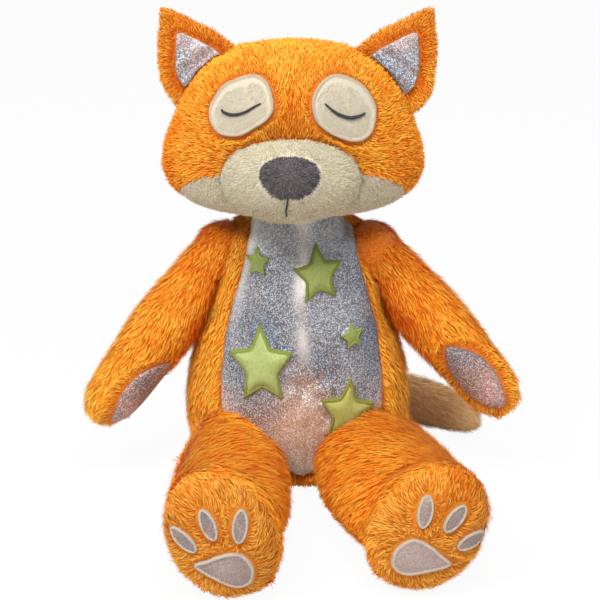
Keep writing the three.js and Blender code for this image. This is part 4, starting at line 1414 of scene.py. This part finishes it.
class FOX_OT_head_pile(bpy.types.Operator):
    """Grows the orange pile of the head and the cream velour of the jaw"""

    bl_idname = "fox.head_pile"
    bl_label = "Head pile"

    def execute(self, context):
        sizes = pile_sizes()
        seam_reach, parting, muzzle_shade = 0.005, -0.0025, 0.0040
        cheek, cheek_span = 0.045, 0.035
        base = named_object("head_skin")
        co = corners_of(base)
        eyes = [named_object("eye_cloth_" + side) for side, _ in SIDES]
        bare, near, away = bare_round(base, *eyes, height=0.0024, reach=0.0014)
        snout = named_object("muzzle_skin")
        clear, muzzle_near, muzzle_away = bare_round(base, snout, height=sizes.skin_inset, reach=0.0008)
        open_skin = np.minimum(1 - near_joint(co, "head_nod", reach=0.0325), clear)
        jaw = nearer(base, "jaw_panel", "head_cover", blur=0.004, bias=0.0002)
        seam = hump(distance_to(base, "jaw_panel"), seam_reach)
        back, right = co[:, 1] > 0.0, co[:, 0] < parting
        comb = parted(head_comb(co, seam, back), near, away)
        comb = parted(comb, muzzle_near, muzzle_away, reach=0.006, strength=0.6)
        split_pile(
            "head_pile",
            quarters(np.minimum(np.minimum(open_skin, 1 - jaw), bare), ~back, right),
            base=base,
            body="head",
            slot="orange_pile",
            material=orange_pile(),
            comb=comb,
            length=sizes.face_length * shorter_near(near, 0.6) * (1 - 0.3 * seam),
            width=sizes.tuft_width * 0.9,
            spacing=sizes.face_spacing,
            # Painted shade: the pile deepens towards the sides of the head.
            warmth=0.66 - 0.25 * rising(np.abs(co[:, 0]), cheek, cheek_span),
            lift=0.36,
        )
        grow_pile(
            "jaw_pile",
            base,
            "head",
            "cream_pile",
            cream_pile(),
            np.minimum(open_skin, jaw),
            unit(comb) + np.array((0, 0.2, -0.9)),
            # Painted shade: the velour deepens along the edge of the muzzle.
            warmth=0.86 - 0.62 * hump(muzzle_near, muzzle_shade),
            **velour(),
        )
        return {"FINISHED"}


def draw_rim(obj, tree, back, depth=0.014, most=0.010):
    """Draws the back rim of a piece onto the skin that it is sewn to."""
    for vertex in obj.data.vertices:
        share = min(1.0, max(0.0, (vertex.co.y - back + depth) / depth)) ** 1.6
        place, normal, _, gap = tree.find_nearest(vertex.co)
        if share > 0 and gap > 1e-5 and (vertex.co - place).dot(normal) > 0:
            vertex.co += (place - vertex.co) * min(1.0, most / gap) * share


def muzzle():
    """The muzzle, sewn to the head, and its cream velour."""
    nose_edge, seam_shade, chin_span = 0.0012, 0.0035, 0.02
    base = skin("muzzle_skin", ["muzzle"], cream_backing(), voxel=0.0019, smooth=8, inset=0.0004)
    draw_rim(base, tree_of(named_object("head_skin")), max(v.co.y for v in base.data.vertices))
    stuff(base, pressure=3, most=0.0008)
    dress(base, "head", "cream_pile", "muzzle")
    co = corners_of(base)
    middle = np.array(middle_of("nose"))
    outward = co - middle
    outward[:, 1] = np.maximum(outward[:, 1], 0)
    under_nose = distance_to(base, "nose") < nose_edge
    seam = hump(distance_to(base, "head_cover", "jaw_panel"), seam_shade)
    grow_pile(
        "muzzle_pile",
        base,
        "head",
        "cream_pile",
        cream_pile(),
        (1 - under_nose) * (1 - inside(co, named_object("head_skin"), depth=0.0004)),
        unit(outward),
        # Painted shade: the velour deepens along its seam and towards its lower part.
        warmth=0.82 - 0.5 * seam - 0.12 * rising(middle[2] - co[:, 2], 0, chin_span),
        **velour(),
    )
    return base


def nose():
    """The grey nose, narrower at its foot, with a crease up its middle."""
    crease_depth, crease_width, crease_top, crease_span = 0.0013, 0.0022, 0.008, 0.006
    foot_share, foot_rise_share, top_drop, top_share = 0.86, 0.65, 0.0012, 0.75
    edge_clear, edge_span, whorl_drop = 0.0008, 0.0006, 0.009
    sizes, tones = pile_sizes(), colours()
    grey = backing_material("grey backing", tones.deep_grey, tones.grey)
    base = skin("nose_skin", ["nose"], grey, voxel=0.0012, smooth=6, inset=0.0014)
    low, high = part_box("nose")
    middle = (low.x + high.x) / 2
    co = corners_of(base)
    crease = crease_depth * hump(co[:, 0] - middle, crease_width)
    crease *= rising(high.z - crease_top - co[:, 2], 0, crease_span)
    rise = (co[:, 2] - low.z) / (high.z - low.z)
    co[:, 0] = middle + (co[:, 0] - middle) * (foot_share + 0.2 * np.minimum(1, rise / foot_rise_share))
    co[:, 1] += crease
    co[:, 2] -= top_drop * np.maximum(0, rise - top_share) / (1 - top_share)
    set_corners(base, co)
    dress(base, "head", "grey_pile", "nose")
    grow_pile(
        "nose_pile",
        base,
        "head",
        "grey_pile",
        pile_material("grey pile", (tones.deep_grey, tones.grey), root=(0.3, 0.3, 0.3)),
        rising(distance_to(base, "muzzle"), edge_clear, edge_span),
        unit(corners_of(base) - np.array((middle, low.y, high.z - whorl_drop))),
        sizes.nose_length,
        sizes.short_width,
        sizes.short_spacing * 0.9,
        lift=0.16,
        clumping=0.8,
        clump_scale=200,
        seed=3,
    )


class FOX_OT_muzzle(bpy.types.Operator):
    """Makes the muzzle, the nose and the stitch of the mouth"""

    bl_idname = "fox.muzzle"
    bl_label = "Muzzle"

    def execute(self, context):
        base = muzzle()
        nose()
        centre = middle_of("mouth_stitch")
        mouth = thread_stroke("mouth_thread", MOUTH_STROKE, centre, tree_of(base), dark_thread(), lift=0.0012)
        dress(mouth, "head", "dark_thread", "mouth_stitch")
        return {"FINISHED"}


def eye_patch(side, outline, centre):
    """An eye's patch of velour, with its border of satin stitch."""
    tones = colours()
    velour_and_border = (
        backing_material("eye velour", toned(tones.patch, 0.88), tones.patch, grain=1500, bump=0.0003),
        stitch_material("eye stitch", toned(tones.patch, 1.0, 0.9, 0.78), cloth_sizes().thread_pitch),
    )
    head = tree_of(named_object("head_skin"))
    patch = sewn_patch(
        "eye_cloth_" + side, outline, centre, head, velour_and_border, EYE_BORDER, EYE_RIDGE, EYE_PUFF, EYE_BASE
    )
    return dress(patch, "head", "patch_cloth", "eye_patch_" + side)


def eye_pile(side, patch, outline, centre):
    """The short nap inside the border of an eye's patch."""
    nap_edge, nap_blur = 0.0034, 0.002
    tones = colours()
    flat = corners_of(patch) - np.array(centre)
    places = [Vector((x, z)) for x, z in flat[:, (0, 2)]]
    edge = np.array([edge_place(place, outline, [0.0] * (len(outline) + 1))[0] for place in places])
    grow_pile(
        "eye_pile_" + side,
        patch,
        "head",
        "patch_cloth",
        pile_material("eye pile", (toned(tones.patch, 0.82), toned(tones.patch, 1.18)), root=(0.75, 0.7, 0.62)),
        np.clip((edge - nap_edge) / nap_blur + 0.5, 0, 1) * (normals_of(patch)[:, 1] < -0.3),
        np.tile((-0.6, 0.0, -0.8), (len(flat), 1)),
        lift=0.2,
        seed=12,
        **velour(0.65, 0.8, 0.9),
    )


class FOX_OT_eyes(bpy.types.Operator):
    """Sews the eye patches and their closed lids"""

    bl_idname = "fox.eyes"
    bl_label = "Eyes"

    def execute(self, context):
        for side, _ in SIDES:
            centre = front_middle("eye_patch_" + side)
            half = EYE_HALVES[side]
            points = [(x * half[0], z * half[1]) for x, z in EYE_OUTLINE_SHARES[side]]
            outline = spaced(spline_outline(points, count=64), gap=0.0012)
            patch = eye_patch(side, outline, centre)
            eye_pile(side, patch, outline, centre)
            stroke = LID_STROKES[side]
            lid = thread_stroke("lid_thread_" + side, stroke, centre, tree_of(patch), dark_thread(), lift=0.0009)
            dress(lid, "head", "dark_thread", "eyelid_" + side)
        return {"FINISHED"}


# The ears


def reach_head(obj, reach=0.007, most=0.0045):
    """Draws the root of an ear into the head, under the head's pile."""
    tree = node_tree_of("head_cover")
    for vertex in obj.data.vertices:
        place, _, _, gap = tree.find_nearest(vertex.co)
        if gap < reach:
            middle = Vector((place.x * 0.5, 0, place.z * 0.5 + 0.105))
            vertex.co += (middle - vertex.co).normalized() * most * (1 - gap / reach)


def ear_skin(side, sign):
    """An ear's skin, its outer corner drawn down to the head."""
    base = skin("ear_skin_" + side, ["ear_cover_" + side], orange_backing(), voxel=0.0015, smooth=8, inset=0.0009)
    corner = Vector((EAR_CORNER[0] * sign, 0, EAR_CORNER[1]))
    draw = Vector((EAR_CORNER_DRAW[0] * sign, 0, EAR_CORNER_DRAW[1]))
    for vertex in base.data.vertices:
        flat = Vector((vertex.co.x - corner.x, 0, vertex.co.z - corner.z))
        vertex.co += draw * math.exp(-((flat.length / EAR_CORNER_REACH) ** 2))
    reach_head(base, reach=0.013, most=0.0085)
    return dress(base, "ear_" + side, "orange_pile", "ear_cover_" + side)


def ear_lining(side, sign):
    """The silver lining of an ear, with slanting folds."""
    fold_height, fold_fade, set_back = 0.0007, 0.01, 0.0004
    node = "ear_lining_" + side
    # The lining is brightened, and warmed as a painted reflection of the orange pile round it.
    silver = toned(colours().silver, 2.0, 1.6, 1.4)
    cloth = glitter_material("ear cloth", silver, cloth_sizes().glitter_dot, metallic=0.2)
    lining = skin("ear_cloth_" + side, [node], cloth, voxel=0.0006, smooth=3, inset=-0.0002)
    reach_head(lining)
    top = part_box(node)[1].z
    co = corners_of(lining)
    slant = co[:, 0] * sign * 0.8 + co[:, 2]
    fold = fold_height * np.sin(slant * 420) * np.minimum(1, (top - co[:, 2]) / fold_fade)
    co[:, 1] -= fold - set_back
    set_corners(lining, co)
    return dress(lining, "ear_" + side, "silver_cloth", node)


class FOX_OT_ears(bpy.types.Operator):
    """Makes the ears with their silver linings"""

    bl_idname = "fox.ears"
    bl_label = "Ears"

    def execute(self, context):
        sizes = pile_sizes()
        for side, sign in SIDES:
            base = ear_skin(side, sign)
            bare, near, away = bare_round(base, ear_lining(side, sign), height=0.0012, reach=0.0009)
            co = corners_of(base)
            root = np.array(joint_place("ear_fold_" + side))
            grow_pile(
                "ear_pile_" + side,
                base,
                "ear_" + side,
                "orange_pile",
                orange_pile(),
                np.where(co[:, 1] < 0.001, bare, 1.0),
                parted(unit(co - root + np.array((0, 0, -0.01))), near, away, reach=0.003, strength=0.6),
                sizes.face_length * 0.75,
                sizes.tuft_width * 0.85,
                sizes.face_spacing,
                # Painted shade: the pile deepens beside the lining.
                warmth=0.62 - 0.3 * (near < 0.003),
                lift=0.2,
                seed=5 + sign,
            )
        return {"FINISHED"}


# The arms


def arm_skin(side, root, along):
    """An arm's skin, fuller towards the shoulder."""
    fullness, full_reach = 0.0034, 0.085
    nodes = ["arm_cover_" + side, "arm_filling_" + side]
    inset = pile_sizes().body_inset * 0.7
    base = skin("arm_skin_" + side, nodes, orange_backing(), voxel=0.0022, smooth=5, inset=inset)
    reach = (corners_of(base) - np.array(root)) @ np.array(along)
    swell(base, fullness * (1 - rising(reach, 0, full_reach)))
    stuff(base, most=0.0012)
    return dress(base, "arm_" + side, "orange_pile", *nodes)


def palm_pad(side, base, along):
    """The silver pad on a palm."""
    facing = Vector(PALM_FACINGS[side]).normalized()
    along = (along - facing * along.dot(facing)).normalized()
    silver = toned(colours().pad, 1.75, 1.45, 1.3)
    cloth = glitter_material("palm cloth", silver, cloth_sizes().glitter_dot, metallic=0.25, sparkle=0.5)
    pad = sewn_patch(
        "palm_cloth_" + side,
        spline_outline(PALM_OUTLINE, 40),
        middle_of("palm_pad_" + side),
        tree_of(base),
        (cloth,),
        base=0.0010,
        across=along,
        up=facing.cross(along),
    )
    return dress(pad, "arm_" + side, "silver_cloth", "palm_pad_" + side)


def arm_pile(side, sign, base, pad, root, along):
    """The arm's pile runs towards the paw, parts round the pad, and carries painted shade in the armpit."""
    half_width, half_height, armpit_reach, arm_reach = 0.016, 0.014, 0.1, 0.11
    sizes = pile_sizes()
    co = corners_of(base)
    flow = np.array(along)
    spoke = co - np.array(root)
    axial = spoke @ flow
    radial = spoke - np.outer(axial, flow)
    bare, near, away = bare_round(base, pad, height=0.0012, reach=0.0014)
    inward = rising(-radial[:, 0] * sign, 0, half_width)
    armpit = inward * np.clip(0.6 - radial[:, 2] / half_height, 0, 1) * (1 - rising(axial, 0, armpit_reach))
    comb = unit(flow + radial * 6 + np.array((0, 0, -0.45)))
    grow_pile(
        "arm_pile_" + side,
        base,
        "arm_" + side,
        "orange_pile",
        body_pile(),
        bare * (1 - inside(co, named_object("torso_skin"))),
        parted(comb, near, away, reach=0.006, strength=0.95),
        sizes.body_length * shorter_near(near, 0.55) * (0.65 + 0.35 * rising(axial, -0.002, 0.025)),
        sizes.tuft_width,
        sizes.body_spacing,
        # Painted shade deep in the armpit and a little on the left arm; the pile pales towards the paw.
        warmth=0.43 + 0.37 * rising(axial, 0, arm_reach) - 0.68 * armpit - 0.04 * sign,
        lift=0.22,
        clumping=0.65,
        seed=8 + sign,
    )


class FOX_OT_arms(bpy.types.Operator):
    """Makes the arms with their palm pads"""

    bl_idname = "fox.arms"
    bl_label = "Arms"

    def execute(self, context):
        for side, sign in SIDES:
            root = joint_place("arm_lift_" + side)
            along = (Vector(far_end("arm_cover_" + side, root)) - root).normalized()
            base = arm_skin(side, root, along)
            pad = palm_pad(side, base, along)
            arm_pile(side, sign, base, pad, root, along)
        return {"FINISHED"}


# The legs


def foot_frame(side):
    """Three directions of a foot: what its sole faces, towards its toes, and across it."""
    turn, tilt, roll = (math.radians(a) for a in FOOT_ANGLES[side])
    facing = Vector((math.sin(turn) * math.cos(tilt), -math.cos(turn) * math.cos(tilt), math.sin(tilt)))
    level = Vector((math.cos(turn), math.sin(turn), 0))
    upright = -level.cross(facing)
    toes = upright * math.cos(roll) + level * math.sin(roll)
    across = level * math.cos(roll) - upright * math.sin(roll)
    return facing, toes, across


def leg_skin(side):
    """A leg's skin, fuller towards the hip, and the share of it that is sole."""
    fullness, foot_depth, thigh_span, floor_span = 0.0034, 0.03, 0.05, 0.02
    tones = colours()
    nodes = ["leg_cover_" + side, "sole_" + side, "leg_filling_" + side]
    inset = pile_sizes().body_inset
    base = skin("leg_skin_" + side, nodes, orange_backing(), voxel=0.0024, smooth=9, inset=inset)
    co = corners_of(base)
    behind = -(co - np.array(middle_of("sole_" + side))) @ np.array(foot_frame(side)[0])
    swell(base, fullness * rising(behind, foot_depth, thigh_span) * rising(co[:, 2], 0, floor_span))
    stuff(base)
    sole = nearer(base, "sole_" + side, "leg_cover_" + side, blur=0.004)
    # The sole's backing is darker than its pile: painted shade under the tufts.
    golden = backing_material("golden backing", toned(tones.deep_golden, 0.7), tones.deep_golden)
    paint_regions(base, sole, golden)
    dress(base, "leg_" + side, "orange_pile", *nodes)
    return base, sole


def foot_pads(side, sign, base):
    """The large pad and the three toe pads of a foot."""
    cloth, tones = cloth_sizes(), colours()
    dot = cloth.glitter_dot * 0.8
    materials = (
        glitter_material("pad cloth", tones.pad, dot, tint=0.4, metallic=0.15, sparkle=0.16),
        stitch_material("pad stitch", tones.pad_border, cloth.thread_pitch),
    )
    surface = tree_of(base)
    _, toes, across = foot_frame(side)
    half = SOLE_PAD_HALF
    outline = spline_outline([(sign * x * half[0], y * half[1]) for x, y in SOLE_PAD_SHARES], 50)
    pads = [(f"sole_pad_cloth_{side}", f"sole_pad_{side}", outline, (0.0017, 0.0009, 0.0006))]
    for toe, lean in TOE_LEANS:
        outline = ellipse_outline(*TOE_PAD_SIZE, -sign * math.radians(lean))
        pads.append((f"toe_cloth_{toe}_{side}", f"toe_pad_{toe}_{side}", outline, (0.0013, 0.0008, 0.0004)))
    made = []
    for name, node, outline, stitching in pads:
        pad = sewn_patch(
            name, outline, middle_of(node), surface, materials, *stitching, base=PAD_BASE, across=across, up=toes
        )
        made.append(dress(pad, "leg_" + side, "pad_cloth", node))
    return made


def leg_piles(side, sign, base, sole, pads):
    """The orange pile lies across the leg, and the golden pile of the sole swirls out round its pads."""
    foot_start, foot_span, sole_start, sole_span, foot_half, pad_top = -0.045, 0.03, -0.03, 0.025, 0.03, 0.032
    sizes, tones = pile_sizes(), colours()
    body = "leg_" + side
    co = corners_of(base)
    facing, toes, _ = foot_frame(side)
    bare, near, away = bare_round(base, *pads, height=0.0014, reach=0.0013)
    root = np.array(joint_place("leg_lift_" + side))
    centre = np.array(middle_of("sole_" + side))
    face = np.array(facing)
    spoke = co - centre
    depth = spoke @ face
    outward = unit(spoke - np.outer(depth, face))
    on_foot = rising(depth, foot_start, foot_span)[:, None]
    leg_comb = unit((centre - root)[None, :])[0] * 0.06 + np.array((-sign * 0.85, 0, -0.5))
    foot_comb = face * 0.25 + np.array((-sign * 0.6, 0, -0.45)) + outward * 0.1
    above = co[:, 2] > ROOT_FLOOR
    outer = spoke[:, 0] * sign / foot_half
    orange = (1 - sole) * above
    split_pile(
        "leg_pile_" + side,
        [("thigh", orange * (depth < -ANKLE_DEPTH)), ("foot", orange * (depth >= -ANKLE_DEPTH))],
        base=base,
        body=body,
        slot="orange_pile",
        material=orange_pile("leg pile", (0.86, 0.7, 0.5)),
        comb=unit(leg_comb * (1 - on_foot) + foot_comb * on_foot),
        length=sizes.body_length,
        width=sizes.tuft_width,
        spacing=sizes.body_spacing,
        # Painted light on the outer side of the leg; towards the sole the pile pales to meet the golden sole.
        warmth=0.6 + 0.08 * np.clip(outer, -1, 1) + 0.1 * rising(depth, sole_start, sole_span),
        lift=0.15,
        clumping=0.65,
        seed=20 + sign * 3,
    )
    upper = rising(spoke[:, 2], 0, pad_top) * np.clip(0.7 + outer, 0, 1)
    swirl = np.cross(face, outward)
    grow_pile(
        "sole_pile_" + side,
        base,
        body,
        "sole_pile",
        pile_material("golden pile", (tones.ember, tones.deep_golden, tones.golden), root=(0.66, 0.5, 0.36)),
        sole * above * bare,
        parted(unit(outward * 0.8 + np.array(toes) * 0.5 + swirl * 0.35), near, away, reach=0.004),
        sizes.sole_length * shorter_near(near, 0.5),
        sizes.tuft_width,
        sizes.face_spacing,
        warmth=0.8 - (0.42 if side == "left" else 0.1) * upper,
        lift=0.25,
        seed=30 + sign,
    )


class FOX_OT_legs(bpy.types.Operator):
    """Makes the legs and feet with their soles and pads"""

    bl_idname = "fox.legs"
    bl_label = "Legs"

    def execute(self, context):
        for side, sign in SIDES:
            base, sole = leg_skin(side)
            leg_piles(side, sign, base, sole, foot_pads(side, sign, base))
        return {"FINISHED"}


# The tail


class FOX_OT_tail(bpy.types.Operator):
    """Makes the tail with its beige tip"""

    bl_idname = "fox.tail"
    bl_label = "Tail"

    def execute(self, context):
        sizes, tones = pile_sizes(), colours()
        tail_reach = 0.12
        nodes = ["tail_base", "tail_tip", "tail_filling"]
        base = skin("tail_skin", nodes, orange_backing(), voxel=0.0024, smooth=8, inset=sizes.body_inset)
        stuff(base, most=0.0015)
        tip = nearer(base, "tail_tip", "tail_base")
        paint_regions(base, tip, backing_material("beige backing", tones.deep_beige, tones.beige))
        dress(base, "tail", "orange_pile", *nodes)
        co = corners_of(base)
        root = np.array(joint_place("tail_swing"))
        last = far_end("tail_tip", root) - np.array(middle_of("tail_tip"))
        reach = rising(np.linalg.norm(co - root, axis=1), 0, tail_reach)[:, None]
        first = np.array((1.0, 0.5, 0.0))
        comb = unit(first * (1 - reach) + unit(last[None, :]) * reach + np.array((0, 0, -0.3)))
        above = (co[:, 2] > ROOT_FLOOR) * (1 - near_joint(co, "tail_swing", reach=0.010))
        beige_pile = pile_material("beige pile", (tones.deep_beige, tones.beige), root=(0.86, 0.78, 0.68))
        for name, share, slot, material, seed in (
            ("base", (1 - tip) * above, "orange_pile", body_pile(), 41),
            ("tip", tip * above, "tail_pile", beige_pile, 43),
        ):
            grow_pile(
                "tail_pile_" + name,
                base,
                "tail",
                slot,
                material,
                share,
                comb,
                sizes.body_length * 0.85,
                sizes.tuft_width,
                sizes.body_spacing,
                seed=seed,
            )
        return {"FINISHED"}


class FOX_PT_panel(bpy.types.Panel):
    """Lists the pieces of the plush fox"""

    bl_idname = "FOX_PT_panel"
    bl_label = "Plush fox"
    bl_space_type = "VIEW_3D"
    bl_region_type = "UI"
    bl_category = "Plush fox"

    def draw(self, context):
        for operator in OPERATORS:
            self.layout.operator(operator.bl_idname)
        for group in (pile_sizes(), cloth_sizes(), colours()):
            for name in group.__annotations__:
                self.layout.prop(group, name)


OPERATORS = (
    FOX_OT_stage,
    FOX_OT_torso,
    FOX_OT_stars,
    FOX_OT_head,
    FOX_OT_muzzle,
    FOX_OT_eyes,
    FOX_OT_head_pile,
    FOX_OT_ears,
    FOX_OT_arms,
    FOX_OT_legs,
    FOX_OT_tail,
    FOX_OT_torso_pile,
)
CLASSES = (FoxPile, FoxCloth, FoxColours, *OPERATORS, FOX_PT_panel)


def register():
    for cls in CLASSES:
        bpy.utils.register_class(cls)
    bpy.types.Scene.fox_pile = bpy.props.PointerProperty(type=FoxPile)
    bpy.types.Scene.fox_cloth = bpy.props.PointerProperty(type=FoxCloth)
    bpy.types.Scene.fox_colours = bpy.props.PointerProperty(type=FoxColours)


def unregister():
    del bpy.types.Scene.fox_colours
    del bpy.types.Scene.fox_cloth
    del bpy.types.Scene.fox_pile
    for cls in reversed(CLASSES):
        bpy.utils.unregister_class(cls)


def main():
    register()
    for operator in OPERATORS:
        group, name = operator.bl_idname.split(".")
        getattr(getattr(bpy.ops, group), name)()
    for group in list(bpy.data.collections):
        if group.name.startswith(TUFTS):
            for obj in list(group.objects):
                bpy.data.objects.remove(obj)
            bpy.data.collections.remove(group)


if __name__ == "__main__":
    main()
